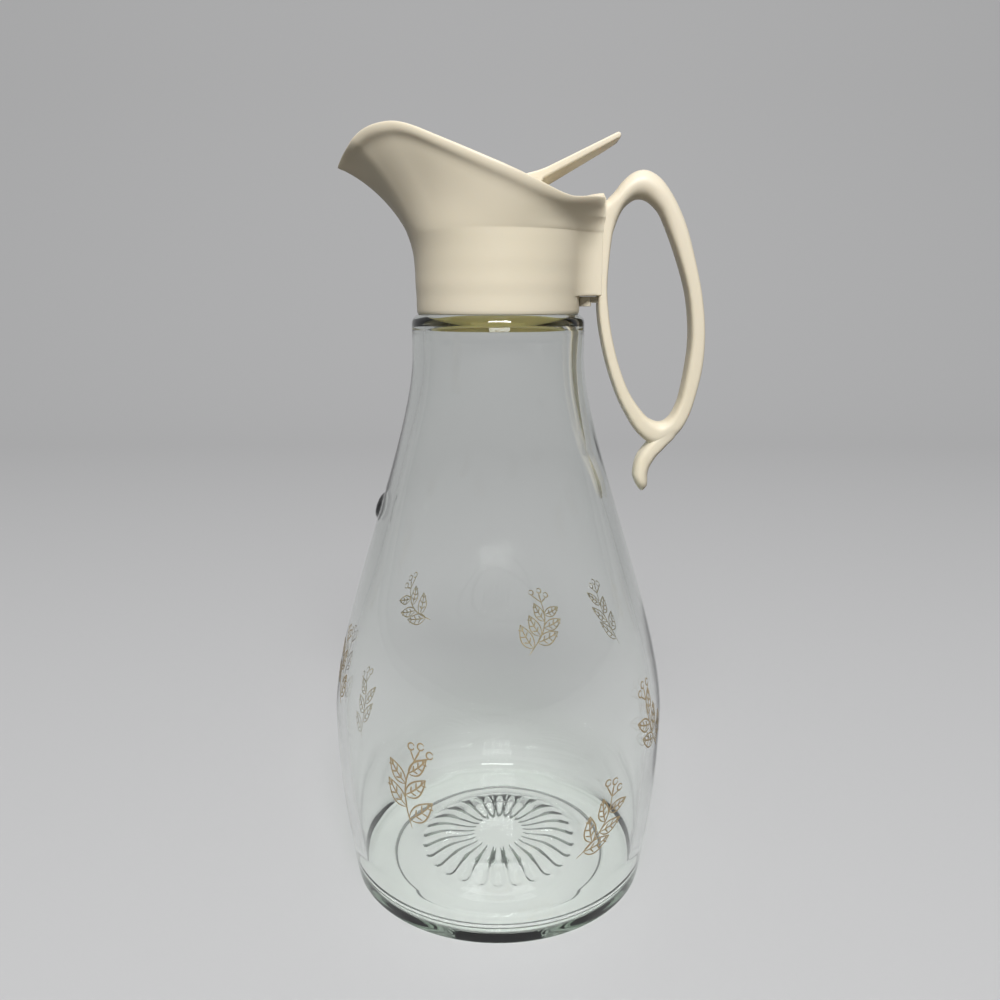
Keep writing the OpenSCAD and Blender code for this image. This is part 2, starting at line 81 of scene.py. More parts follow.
class CarafeGlass(bpy.types.PropertyGroup):
    """Sizes and tint of the glass."""

    foot_r: length("Foot radius", 59, "Radius of the foot")
    belly_r: length("Belly radius", 65.1, "Radius of the belly")
    belly_h: length("Belly height", 69, "Height of the widest part of the belly")
    neck_r: length("Neck radius", 32, "Outer radius of the neck")
    neck_h: length("Neck height", 208, "Height where the cone has become the neck")
    shoulder_h: length("Shoulder height", 222.8, "Height of the shoulder under the collar")
    shoulder_round: length("Shoulder rounding", 3.4, "Rounding of the shoulder's outer corner")
    wall: length("Wall", 4, "Wall of the body")
    neck_wall: length("Neck wall", 4.4, "Wall of the neck")
    floor_t: length("Floor", 5.2, "Thickness of the floor")
    rim_h: length("Threaded rim", 21.6, "Height of the rim above the shoulder")
    rim_r: length("Rim radius", 27.2, "Outer radius of the rim under its thread")
    rim_bore: length("Rim bore", 25.5, "Inner radius of the rim")
    ring_r: length("Foot ring", 42, "Inner radius of the ring it stands on")
    hollow: length("Foot hollow", 1.2, "Depth of the hollow inside that ring")
    dome: length("Dome", 6.5, "How far the middle of the base is pushed up")
    ribs: IntProperty(name="Star ribs", description="Ribs of the pressed star", default=26, min=8, max=40)
    star_r: length("Star radius", 31, "Radius of the star")
    hub_r: length("Star centre", 10.5, "Radius of the star's plain centre")
    rib_h: length("Rib height", 0.8, "Height of the star's ribs")
    button_h: length("Button height", 150, "Height of the glass button on the cone")
    button_r: length("Button radius", 4.9, "Radius of the button")
    button_proud: length("Button relief", 1.8, "How far the button stands proud")
    wave: length("Unevenness", 0.16, "How far the inside strays from a true round")
    tint: colour("Tint", (0.5, 0.7, 0.52), "Colour that thick glass takes on")
    density: FloatProperty(name="Density", description="How fast glass takes on its tint", default=13)
    print_colour: colour("Print", (0.3, 0.215, 0.115), "Colour of the printed sprays")
    print_width: length("Print line", 0.62, "Width of the printed lines")


class CarafeHead(bpy.types.PropertyGroup):
    """Sizes and colours of the pouring head and the seal in it."""

    collar_r: length("Collar radius", 29.85, "Outer radius of the collar at its lower edge")
    collar_bottom: length("Collar bottom", 222.8, "Height of the collar's lower edge")
    crease_r: length("Crease radius", 31, "Radius at the crease above the collar")
    crease_h: length("Crease height", 251.4, "Height of the crease above the collar")
    bore_r: length("Collar bore", 28.5, "Inner radius of the collar")
    deck_z: length("Deck", 246.7, "Height of the deck's lower face")
    deck_t: length("Deck thickness", 1.8, "Thickness of the deck")
    deck_hole_r: length("Deck opening", 23.6, "Radius of the opening in the deck")
    wall: length("Wall", 2, "Wall of the head")
    reach: length("Spout reach", 57.6, "Reach of the spout from the axis")
    half_w: length("Rim half width", 32.8, "Half width of the rim over the axis")
    back: length("Rim back", 33.4, "Reach of the rim at the back")
    lip_up: length("Lip height", 22.7, "Height of the spout's lip above the crease")
    crest_up: length("Crest height", 34.7, "Height of the rim's crest above the crease")
    crest_x: length("Crest place", 35.5, "Distance of the rim's crest in front of the axis")
    valley_up: length("Valley height", 11, "Height of the rim's valley above the crease")
    valley_x: length("Valley place", 24.5, "Distance of the valley behind the axis")
    back_rise: length("Back rise", 2.8, "Rise of the rim from the valley to the back")
    bead_h: length("Bead height", 3.4, "Height of the rolled bead along the rim")
    bead_proud: length("Bead relief", 0.8, "How far the bead stands proud of the wall")
    dip: length("Wall dip", 0.9, "How far the wall bows in under the rim at the spout and the back")
    bow: length("Wall flare", 3, "How far the wall leans out from the crease to the rim")
    flare: length("Spout flare", 2.1, "How far the collar leans out under the spout")
    flare_h: length("Flare height", 240, "Height where it begins to lean out")
    boss_x: length("Back face", 36.5, "Distance of the back face from the axis")
    boss_half_w: length("Back face half width", 5.6, "Half width of the back face")
    ledge: length("Ledge", 1.3, "How far the head reaches into the limb of the handle")
    boss_bottom: length("Boss bottom", 229.2, "Height of the back boss's lower edge")
    cream: colour("Cream", (0.74, 0.665, 0.525), "Colour of the moulded plastic")
    aged: colour("Aged cream", (0.66, 0.6, 0.43), "Colour of the plastic where it has yellowed")
    # painted shade: the colour that the plastic's inner corners and creases are darkened towards
    grime: colour("Crease_shade", (0.2, 0.165, 0.1), "Colour of the darkness that stays in creases")
    seal_colour: colour("Seal", (0.72, 0.62, 0.24), "Colour of the soft seal")


class CarafeLid(bpy.types.PropertyGroup):
    """Sizes of the lid, its lever and the pin."""

    thick: length("Flap", 1.8, "Thickness of the flap")
    gap: length("Gap", 0.8, "Gap between the flap and the head's wall")
    drop: length("Drop", 1.2, "Depth of the flap's edge below the rim")
    crown: length("Crown", 2.5, "Rise of the flap's crown")
    lever_l: length("Lever length", 29, "Length of the thumb lever along its slope")
    lever_w: length("Lever width", 15, "Width of the thumb lever")
    lever_root: length("Lever root", 2.7, "Thickness of the lever at its root")
    lever_tip: length("Lever tip", 2, "Thickness of the lever at its tip")
    lever_slope: angle("Lever slope", 25.2, "Slope of the lever")
    hinge_x: length("Hinge place", 22.5, "Distance of the pin behind the axis")
    hinge_z: length("Hinge height", 256.6, "Height of the pin")
    barrel_r: length("Barrel radius", 2.7, "Outer radius of the lid's barrel")
    barrel_l: length("Barrel length", 27.6, "Length of the lid's barrel")
    steel: colour("Pin steel", (0.56, 0.55, 0.53), "Colour of the hinge pin")


class CarafeHandle(bpy.types.PropertyGroup):
    """Sizes of the loop handle."""

    limb_x: length("Limb place", 36.5, "Distance of the upright limb's outer side from the axis")
    reach: length("Loop reach", 40.2, "Reach of the loop from the upright limb's outer side to the grip's")
    top: length("Loop top", 273.4, "Height of the loop's highest point")
    height: length("Loop height", 99.5, "Height of the loop, lowest point to highest")
    width: length("Loop width", 10.8, "Width of the loop across the object")


class CarafeStage(bpy.types.PropertyGroup):
    """Colours of the stage and the camera's place."""

    floor: colour("Floor", (0.56, 0.56, 0.565), "Colour of the floor and the backdrop")
    floor_light: colour("Floor light", (0.1, 0.09, 0.07), "Colour that the floor throws back")
    sky: colour("Sky", (0.8, 0.82, 0.85), "Colour of the light from all sides")
    sky_light: FloatProperty(name="Sky light", description="Strength of that light", default=0.225)
    eye: FloatVectorProperty(
        name="Camera", description="Place of the camera", default=(0.0007, -0.341, 0.2282),
        subtype="TRANSLATION", unit="LENGTH", size=3,
    )
    pitch: angle("Pitch", 77.39, "Turn of the camera from straight down")
    lens: FloatProperty(name="Lens", description="Focal length in millimetres", default=32.36)


def sizes(group):
    """The lengths of a property group in millimetres, by name."""
    found = {}
    for key, value in type(group).__annotations__.items():
        unit = value.keywords.get("unit")
        if unit == "LENGTH" and value.keywords.get("size") is None:
            found[key] = getattr(group, key) / MM
    return type("Sizes", (), found)


# ---- curves ----
def mix(a, b, t):
    """Straight change from a at 0 to b at 1."""
    return a + (b - a) * t


def smooth(x, start, end):
    """0 before start and 1 after end, with a smooth S between them."""
    t = limit((x - start) / (end - start))
    return t * t * (3 - 2 * t)


def limit(x):
    """x held between 0 and 1."""
    return np.clip(x, 0, 1)


def steps(n):
    """n even steps from 0 to 1, one to a row."""
    return np.linspace(0, 1, n)[:, None]


def columns(*parts):
    """Arrays side by side along a new last axis, each spread to the shape of all."""
    return np.stack(np.broadcast_arrays(*parts), -1)


def bezier(a, b, c, d, t):
    """Cubic Bezier: the four points weighted by the terms of ((1 - t) + t) cubed."""
    return a * (1 - t) ** 3 + b * 3 * t * (1 - t) ** 2 + c * 3 * t * t * (1 - t) + d * t**3


def along(knots, x):
    """Piecewise cubic through knots of (place, height, slope), each stretch the cubic that has both ends'
    heights and slopes."""
    knots = np.array(knots, float)
    i = np.clip(np.searchsorted(knots[:, 0], x) - 1, 0, len(knots) - 2)
    x0, z0, s0 = np.moveaxis(knots[i], -1, 0)
    x1, z1, s1 = np.moveaxis(knots[i + 1], -1, 0)
    h = x1 - x0
    t = (x - x0) / h
    start = (z0 * (1 + 2 * t) + h * s0 * t) * (1 - t) ** 2
    return start + (z1 * (3 - 2 * t) + h * s1 * (t - 1)) * t * t


def round_trip(rows, s):
    """Closed smooth curve through rows of numbers: each point mixes its four nearest rows with the weights of
    Catmull and Rom."""
    rows = np.array(rows, float)
    n = len(rows)
    i = np.floor(s).astype(int)
    t = (s - i)[:, None]
    a, b, c, d = rows[(i - 1) % n], rows[i % n], rows[(i + 1) % n], rows[(i + 2) % n]
    return 0.5 * (2 * b + (c - a) * t + (2 * a - 5 * b + 4 * c - d) * t**2 + (3 * b - a - 3 * c + d) * t**3)


def arc(cx, cy, r, start, end, n):
    """n points on a circle of radius r, from one angle to the other, in degrees."""
    a = np.radians(np.linspace(start, end, n))
    return columns(cx + r * np.cos(a), cy + r * np.sin(a))


def circle(n):
    """n bearings round a circle."""
    return np.arange(n) / n * TURN


# ---- meshes ----
def skin(points, loop=False, flat=False):
    """Faces over a grid of points [row, column, xyz]. Columns join up in a ring. Rows join up too in a loop,
    or each end closes in a fan on the middle of its row, or in one flat face. The faces are turned so that
    the volume they enclose is positive."""
    rows, cols = points.shape[:2]
    index = np.arange(rows * cols).reshape(rows, cols)
    low, high = (index, np.roll(index, -1, 0)) if loop else (index[:-1], index[1:])
    quads = columns(low, np.roll(low, -1, 1), np.roll(high, -1, 1), high).reshape(-1, 4)
    verts = points.reshape(-1, 3)
    tris = np.zeros((0, 3), int)
    if not loop:
        verts = np.vstack([verts, points[0].mean(0), points[-1].mean(0)])
        n = rows * cols
        first, last = index[0], index[-1]
        tris = np.concatenate([
            columns(n, np.roll(first, -1), first),
            columns(n + 1, last, np.roll(last, -1)),
        ])
    corner = np.concatenate([quads[:, [0, 1, 2]], quads[:, [0, 2, 3]], tris])
    a, b, c = (verts[corner[:, k]] - verts.mean(0) for k in range(3))
    ends = np.stack([index[0, ::-1], index[-1]]) if flat else tris
    if flat:
        verts = verts[:-2]
    if np.einsum("ij,ij->", a, np.cross(b, c)) < 0:
        quads, ends = quads[:, ::-1], ends[:, ::-1]
    return verts, quads, ends


def piece(name, shapes, body, finish, nodes=(), sharp=38):
    """One object from one or more skins in millimetres, shaded smooth with edges sharper than the angle kept
    crisp."""
    verts, faces, start = [], [], 0
    for points, quads, ends in shapes:
        verts.append(points)
        faces += (quads + start).tolist() + (ends + start).tolist()
        start += len(points)
    mesh = bpy.data.meshes.new(name)
    mesh.from_pydata((np.vstack(verts) * MM).tolist(), [], faces)
    mesh.polygons.foreach_set("use_smooth", np.ones(len(mesh.polygons), bool))
    mesh.set_sharp_from_angle(angle=math.radians(sharp))
    mesh.materials.append(finish)
    made = bpy.data.objects.new(name, mesh)
    bpy.context.scene.collection.objects.link(made)
    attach(made, body)
    if nodes:
        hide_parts(*nodes)
    return made


def around(r, a, z):
    """Points at a radius, a bearing and a height, as [..., xyz]."""
    return columns(r * np.cos(a), r * np.sin(a), z)


def turned(profile, a):
    """A profile of (radius, height) turned about Z through some bearings."""
    r, z = np.array(profile, float).T[..., None]
    return around(r, a, z)


def spanned(outer, inner, half_w, power, sides=44):
    """Rounded sections in planes across Y, each from an outer to an inner edge point given as (x, z). The
    section is a superellipse: its half sizes times the cosine and sine, each raised to a power; 1 is an
    ellipse, less is squarer."""
    a = np.arange(sides) / sides * TURN + 0.01
    c, s = np.cos(a), np.sin(a)
    power = np.broadcast_to(power, half_w.shape)[:, None]
    u = np.sign(c) * np.abs(c) ** power
    v = np.sign(s) * np.abs(s) ** power * half_w[:, None]
    middle, half = (outer + inner) / 2, (outer - inner) / 2
    return columns(middle[:, :1] + half[:, :1] * u, v, middle[:, 1:] + half[:, 1:] * u)


def direction(path, closed=False):
    """Unit direction at each point of a path, from its neighbours on both sides."""
    d = np.roll(path, -1, 0) - np.roll(path, 1, 0) if closed else np.gradient(path, axis=0)
    return d / np.linalg.norm(d, axis=1, keepdims=True)


def rounded_ends(half_w, edge, steps=5):
    """Rows across a bar of a half width with rounded edges: how far each is drawn in, and its place."""
    a = np.linspace(0, np.pi / 2, steps)
    inset, out = edge * (1 - np.sin(a)), half_w - edge * (1 - np.cos(a))
    return np.concatenate([inset, inset[::-1]]), np.concatenate([-out, out[::-1]])


def rounded_bar(outline, half_w, edge, steps=5):
    """A flat outline in the X-Z plane as a bar across Y whose side edges are rounded: near each side the
    outline shrinks towards its own inside by the rounding's arc."""
    outline = np.asarray(outline, float)
    d = direction(outline, closed=True)
    x, z = outline.T
    area = np.sum(x * np.roll(z, -1) - np.roll(x, -1) * z)
    inward = columns(-d[:, 1], d[:, 0]) * np.sign(area)
    shrink, place = rounded_ends(half_w, edge, steps)
    ring = outline[None] + inward[None] * shrink[:, None, None]
    return columns(ring[..., 0], place[:, None], ring[..., 1])


# ---- finishes ----
class Wire:
    """One value in a node tree. Sums and products with it add Math nodes."""

    def __init__(self, tree, socket):
        self.tree, self.socket = tree, socket

    def math(self, operation, *values):
        node = self.tree.nodes.new("ShaderNodeMath")
        node.operation = operation
        for socket, value in zip(node.inputs, values):
            plug(self.tree, socket, value)
        return Wire(self.tree, node.outputs[0])

    def __add__(self, other):
        return self.math("ADD", self, other)

    def __radd__(self, other):
        return self.math("ADD", other, self)

    def __mul__(self, other):
        return self.math("MULTIPLY", self, other)

    def __rmul__(self, other):
        return self.math("MULTIPLY", other, self)


def plug(tree, socket, value):
    """Links a value to a socket, or sets the socket to the number or colour."""
    if isinstance(value, Wire):
        tree.links.new(value.socket, socket)
    elif isinstance(value, (tuple, list)) and len(value) == 3 and len(socket.default_value) == 4:
        socket.default_value = (*value, 1)
    else:
        socket.default_value = value


class Finish:
    """A material under construction."""

    def __init__(self, name):
        self.material = bpy.data.materials.new(name)
        self.material.use_nodes = True
        self.tree = self.material.node_tree
        self.tree.nodes.clear()

    def node(self, kind, settings=None, sockets=None, out=0):
        """Adds a node, applies its settings, fills its sockets with values or links, and gives one output."""
        node = self.tree.nodes.new("ShaderNode" + kind)
        for key, value in (settings or {}).items():
            if key == "stops":
                for element, (place, level) in zip(node.color_ramp.elements, value):
                    element.position = place
                    element.color = (level, level, level, 1)
            else:
                setattr(node, key, value)
        for key, value in (sockets or {}).items():
            plug(self.tree, node.inputs[key], value)
        return Wire(self.tree, node.outputs[out])

    def place(self, scale=(1, 1, 1)):
        """Object coordinates in metres, stretched by a scale."""
        where = self.node("TexCoord", out="Object")
        return self.node("Mapping", sockets={"Vector": where, "Scale": scale})

    def noise(self, scale, detail=3.0, rough=0.5, stretch=(1, 1, 1)):
        """Soft noise around 0.5 with so many features to the metre, fewer where it is stretched below 1."""
        sockets = {"Vector": self.place(stretch), "Scale": scale, "Detail": detail, "Roughness": rough}
        return self.node("TexNoise", sockets=sockets)

    def ramp(self, value, low, high):
        """A level that goes from the first to the second between two stops, each a (value, level)."""
        return self.node("ValToRGB", {"stops": (low, high)}, {"Fac": value})

    def blend(self, share, first, second):
        """Colour mix of first and second by a share."""
        return self.node("Mix", {"data_type": "RGBA"}, {0: share, 6: first, 7: second}, out=2)

    def bump(self, strength, distance, height, **under):
        """Bumps from a height in metres, over the Normal under them where there is one."""
        sockets = {"Strength": strength, "Distance": distance, "Height": height}
        return self.node("Bump", sockets=sockets | under)

    def done(self, surface, volume=None):
        end = self.tree.nodes.new("ShaderNodeOutputMaterial")
        plug(self.tree, end.inputs["Surface"], surface)
        if volume:
            plug(self.tree, end.inputs["Volume"], volume)
        return self.material


def clear_glass(g):
    """Soda glass: clear, faintly green in its thick parts, with a trace of wiping marks in its roughness and
    a slight waviness in its surface."""
    f = Finish("clear_glass")
    wipe = f.noise(26, 4, 0.6, (1, 1, 0.35))
    wave = f.noise(38, 2, 0.4, (1, 1, 0.3))
    body = f.node("BsdfPrincipled", sockets={
        "Base Color": (1, 1, 1),
        "Roughness": f.ramp(wipe, (0.5, 0.0), (0.8, 0.035)),
        "IOR": 1.5,
        "Transmission Weight": 1.0,
        "Normal": f.bump(0.06, 0.0012, wave),
    })
    shadow = f.node("LightPath", out="Is Shadow Ray")
    pale = f.node("BsdfTransparent", sockets={"Color": (0.93, 0.95, 0.93)})
    surface = f.node("MixShader", sockets={0: shadow * 0.85, 1: body, 2: pale})
    tint = f.node("VolumeAbsorption", sockets={"Color": tuple(g.tint), "Density": g.density})
    return f.done(surface, tint)


def cream_plastic(h, name="cream_plastic"):
    """Injection-moulded cream plastic: yellowed in soft clouds, with faint flow marks in its surface, fine
    scuffs that dull it, and painted shade that darkens its inner corners."""
    f = Finish(name)
    cloud = f.noise(14)
    fine = f.noise(700, 3, 0.6)
    flow = f.noise(48, 2, 0.5, (1, 1, 0.45))
    scratch = f.noise(260, 4, 0.5, (1, 1, 14))
    base = f.blend(f.ramp(cloud, (0.42, 0.0), (0.8, 0.4)), tuple(h.cream), tuple(h.aged))
    # painted shade: ambient occlusion within 4 mm mixes up to 35 percent of the darker corner colour into
    # inner corners
    corner = f.node("AmbientOcclusion", {"samples": 8}, {"Distance": 0.004}, out="AO")
    base = f.blend(f.ramp(corner, (0.0, 0.35), (0.5, 0.0)), base, tuple(h.grime))
    scuffs = f.ramp(fine, (0.35, 0.0), (0.75, 0.06)) + f.ramp(scratch, (0.6, 0.0), (0.8, 0.1))
    return f.done(f.node("BsdfPrincipled", sockets={
        "Base Color": base,
        "Roughness": 0.43 + scuffs,
        "IOR": 1.5,
        "Subsurface Weight": 0.1,
        "Subsurface Radius": (0.003, 0.0024, 0.0016),
        "Subsurface Scale": 1.0,
        "Normal": f.bump(0.03, 0.0001, scratch, Normal=f.bump(0.1, 0.0006, flow)),
    }))


def soft_seal(h):
    """Soft vinyl gone olive yellow, stained darker in places, with a fine grain."""
    f = Finish("seal_rubber")
    grain = f.noise(1400, 2)
    stain = f.ramp(f.noise(45), (0.4, 0.0), (0.75, 0.6))
    return f.done(f.node("BsdfPrincipled", sockets={
        "Base Color": f.blend(stain, tuple(h.seal_colour), (0.5, 0.41, 0.14)),
        "Roughness": 0.32 + 0.2 * grain,
        "Subsurface Weight": 0.3,
        "Subsurface Radius": (0.004, 0.003, 0.001),
        "Normal": f.bump(0.15, 0.0001, grain),
    }))


def pin_steel(l):
    """Drawn steel wire: bright, with fine drawing marks along the pin."""
    f = Finish("pin_steel")
    drawn = f.noise(1500, 3, 0.6, (1, 0.03, 1))
    return f.done(f.node("BsdfPrincipled", sockets={
        "Base Color": f.blend(drawn, tuple(l.steel), (0.36, 0.34, 0.31)),
        "Metallic": 1.0,
        "Roughness": 0.22 + 0.2 * drawn,
        "Normal": f.bump(0.1, 0.0001, drawn),
    }))


def gold_print(g):
    """Fired gold-brown print: a thin satin film, broken up a little by wear."""
    f = Finish("gold_print")
    wear = f.noise(900, 4, 0.7)
    return f.done(f.node("BsdfPrincipled", sockets={
        "Base Color": f.blend(wear, tuple(g.print_colour), (0.52, 0.4, 0.22)),
        "Metallic": 0.35,
        "Roughness": 0.35 + 0.25 * wear,
        "Normal": f.bump(0.1, 0.00005, wear),
    }))


# ---- glass ----
def body_line(s, t, upper):
    """The outside of the glass above or below the belly as (radius, height): one cubic Bezier each, upright
    at the belly."""
    belly, neck = (s.belly_r, s.belly_h), (s.neck_r, s.neck_h)
    if upper:
        points = [belly, (s.belly_r, s.belly_h + 34), (s.neck_r, s.neck_h - 30), neck]
    else:
        points = [(s.foot_r, 2), (s.foot_r + 2.6, 20), (s.belly_r, s.belly_h - 30), belly]
    return bezier(*(np.array(point, float) for point in points), t[:, None])


def glass_radius(s, z):
    """Outer radius of the body at a height, read off the two curves."""
    low = body_line(s, np.linspace(0, 1, 60), False)
    high = body_line(s, np.linspace(0, 1, 160), True)
    line = np.vstack([low, high[1:], [(s.neck_r, s.shoulder_h)]])
    return np.interp(z, line[:, 1], line[:, 0])


def near_button(s, z, step):
    """Adds heights a quarter of a step apart where the button is."""
    near = np.arange(s.button_h - s.button_r - 1, s.button_h + s.button_r + 1, step / 4)
    return np.sort(np.concatenate([z[(z < near[0] - 0.3) | (z > near[-1] + 0.3)], near]))


def read_off(curve, z, inset=0):
    """Points of a curve of (radius, height) at some heights, moved in by an inset."""
    return columns(np.interp(z, curve[:, 1], curve[:, 0]) - inset, z)


def thread_ridge(start, a, z):
    """Height of the screw thread: a rounded ridge around a line that climbs from its start by the pitch each
    turn, fading in and out at its ends."""
    rise = 0
    for lap in range(math.ceil(THREAD_TURNS)):
        turn = a / TURN + lap
        fade = smooth(turn, 0, 0.07) * (1 - smooth(turn, THREAD_TURNS - 0.07, THREAD_TURNS))
        off = np.abs(z - start - THREAD_PITCH * turn)
        rise = np.maximum(rise, fade * limit(1.25 - off / 1.2))
    return rise


def star_relief(s, a, r):
    """Relief of the pressed star: each rib is half an ellipse across, as wide as its share of the circle, and
    ends round."""
    share = (a * s.ribs / TURN) % 1 - 0.5
    half = 0.43
    width = TURN * s.star_r / s.ribs * half
    u = share / half
    v = np.clip((r - s.star_r + width) / width, 0, None) + np.clip((s.hub_r + 3.5 - r) / 3.5, 0, None)
    return np.sqrt(limit(1 - u * u - v * v))


def base_lift(s, r):
    """How far the base is pushed up: all of the dome in the middle, falling to nothing inside the foot
    ring."""
    return s.dome * (1 - smooth(r, 20, 41))


def star_profile(s):
    """Underside as (radius, height) from the middle to the foot ring."""
    ribs = np.linspace(s.hub_r - 1, s.star_r + 0.5, 34)
    r = np.concatenate([[1.5, 4, 6.5], ribs, [33.5, 36.5, 39.5, s.ring_r - 0.6]])
    return columns(r, s.hollow + base_lift(s, r))


def foot_profile(s):
    """Foot as (radius, height): the rounded inner edge, the ring it stands on and the outer corner."""
    return np.vstack([
        arc(s.ring_r + 0.5, s.hollow - 0.6, 0.6, 80, 0, 4),
        [(s.ring_r + 1.5, 0.1), (s.ring_r + 3, 0), (50, 0), (s.foot_r - 2.6, 0)],
        arc(s.foot_r - 1.7, 1.6, 1.6, -75, -12, 6),
    ])


def outer_profile(s, low, high):
    """Outside as (radius, height): up the body's two curves and the neck to the rounded shoulder."""
    corner = s.shoulder_h - s.shoulder_round
    return np.vstack([
        read_off(low, np.arange(3.4, s.belly_h, 3)),
        read_off(high, near_button(s, np.arange(s.belly_h, s.neck_h, 2.8), 2.8)),
        [(s.neck_r, s.neck_h), (s.neck_r, s.neck_h + 6), (s.neck_r, corner)],
        arc(s.neck_r - s.shoulder_round, corner, s.shoulder_round, 8, 90, 9),
    ])


def rim_profile(s):
    """Threaded rim as (radius, height), up its outside and over its rounded edge."""
    top = s.shoulder_h + s.rim_h
    z = np.linspace(s.shoulder_h + 1.2, top - 0.9, 56)
    return np.vstack([
        [(s.rim_r + 0.5, s.shoulder_h + 0.05), (s.rim_r + 0.1, s.shoulder_h + 0.4)],
        columns(s.rim_r + 0 * z, z),
        arc(s.rim_r - 0.85, top - 0.85, 0.85, 10, 170, 8),
    ])


def inner_profile(s, low, high):
    """Inside as (radius, height): down the rim's bore, out to the neck's, down a wall that is a wall's
    thickness inside the body's curves, round the corner and over the floor."""
    bore, neck_bore, down = s.rim_bore, s.neck_r - s.neck_wall, s.shoulder_h
    z_rim = np.append(np.linspace(down + s.rim_h - 3, down + 1.5, 5), down + 0.4)
    z_cone = np.arange(s.neck_h, s.belly_h, -3.2)
    z_bowl = np.arange(s.belly_h, s.floor_t + 7, -3.2)
    thick = mix(s.wall, s.neck_wall, (z_cone - s.belly_h) / (s.neck_h - s.belly_h))
    wall = np.vstack([read_off(high, z_cone, thick), read_off(low, z_bowl, s.wall)])
    corner_r = wall[-1, 0]
    floor = np.linspace(corner_r - 7, 2, 26)
    return np.vstack([
        columns(bore + 0 * z_rim, z_rim),
        [(bore, down - 1), (bore, down - 2.4), (bore + 0.3, down - 2.9), (bore + 1.1, down - 3.7)],
        [(neck_bore - 0.3, down - 4.8), (neck_bore, down - 6), (neck_bore, s.neck_h + 5)],
        wall,
        arc(corner_r - 5, s.floor_t + 5, 5, -4, -88, 10),
        columns(floor, s.floor_t + base_lift(s, floor)),
    ])


def glass_surface(s):
    """The whole glass as one closed surface turned about Z: across the underside, round the foot, up the
    outside, over the rim and down the inside. The star, the button, the thread and the inside's unevenness
    are added to the height or radius of their rows."""
    a = circle(s.ribs * 11)
    grid = np.linspace(0, 1, 400)
    low, high = body_line(s, grid, False), body_line(s, grid, True)
    parts = [
        star_profile(s), foot_profile(s), outer_profile(s, low, high), rim_profile(s),
        inner_profile(s, low, high),
    ]
    cuts = np.cumsum([0] + [len(part) for part in parts])
    star, foot, outside, rim, inside = (slice(*ends) for ends in zip(cuts, cuts[1:]))
    r, z = (column[:, None] + 0 * a for column in np.vstack(parts).T)
    z[star] -= s.rib_h * star_relief(s, a, r[star])
    off = np.hypot((a - np.pi) * r[outside], z[outside] - s.button_h)
    r[outside] += s.button_proud * limit(1 - (off / s.button_r) ** 2) ** 0.55
    r[rim] += thread_ridge(s.shoulder_h + 6.4, a, z[rim])
    h = z[inside]
    waves = np.sin(2 * a + h / 31) + 0.7 * np.sin(3 * a - h / 19 + 1) + 0.5 * np.sin(5 * a + h / 12 + 2)
    r[inside] += s.wave * smooth(h, 20, 60) * (1 - smooth(h, 190, 212)) * waves
    return around(r, a, z)


# ---- printed sprays ----
def ribbon(s, line, width, lift=0.05, thick=0.05):
    """A printed line laid on the glass. The line is (distance round the glass, height); the section is a flat
    lens whose width tapers at both ends, and it is bent round the glass by angle = distance over radius."""
    d = direction(line)
    side = columns(-d[:, 1], d[:, 0])
    taper = 0.35 + 0.65 * np.sqrt(limit(np.sin(np.linspace(0, np.pi, len(line)))))
    u = np.array([-1, -0.5, 0.5, 1, 0.5, -0.5]) * (width / 2 * taper)[:, None]
    v = np.array([0.3, 1, 1, 0.3, 0, 0])
    x, z = np.moveaxis(line[:, None] + side[:, None] * u[..., None], -1, 0)
    return skin(around(glass_radius(s, z) + lift + thick * v, x / glass_radius(s, line[:, 1:]), z))


def leaf(root, heading, size, bend, veins=3):
    """Lines of one drawn leaf: two bowed sides that meet at the tip, a middle vein and short side veins."""
    ahead = np.array([math.cos(heading), math.sin(heading)])
    across = np.array([-ahead[1], ahead[0]])
    spine = lambda t: root + ahead * size * t + across * size * bend * t * t
    bow = lambda t: np.sin(np.pi * t**0.8) * size
    t = steps(15)
    lines = [spine(t) + across * bow(t) * 0.24, spine(t) - across * bow(t) * 0.24, spine(t)]
    for k in range(veins):
        at = (k + 1) / (veins + 1)
        for side in (-1, 1):
            end = spine(at) + ahead * size * 0.14 + across * side * bow(at) * 0.2
            lines.append(mix(spine(at), end, steps(6)))
    return lines


def spray(at, heading, size, leaves, bend):
    """One spray: a bowed stem with leaves on alternate sides, and berries on short stalks at its end, each a
    small ring with an open side."""
    t = steps(28)
    ahead = np.array([math.cos(heading), math.sin(heading)])
    across = np.array([-ahead[1], ahead[0]])
    stem = np.array(at) + ahead * size * t + across * size * bend * np.sin(t * np.pi * 0.9)
    lines = [stem]
    for k in range(leaves):
        side = 1 if k % 2 else -1
        root, turn = stem[int(3 + 20 * k / leaves)], side * 0.95 + bend * 0.6
        lines += leaf(root, heading + turn, size * (0.42 - 0.025 * k), -0.2 * side)
    for forward, off in ((0.04, 0.0), (0.0, 0.12), (-0.02, -0.13)):
        end = stem[-1] + ahead * size * forward + across * size * off
        middle = end + ahead * 1.3
        lines.append(arc(*middle, 1.25, math.degrees(0.3), 360 * 0.97, 14))
        lines.append(mix(stem[-4], end, steps(8)))
    return lines


# printed sprays: bearing in degrees, height, heading in degrees, length, number of leaves, bend of the stem
SPRAYS = [
    (-118, 46, 80, 30, 5, 0.16), (-64, 34, 62, 28, 5, -0.18), (-158, 78, 100, 26, 4, 0.2),
    (-20, 60, 112, 30, 5, 0.16), (28, 82, 70, 27, 5, -0.15), (76, 62, 96, 32, 6, 0.18),
    (122, 84, 60, 28, 5, -0.2), (168, 44, 110, 28, 5, 0.15),
]


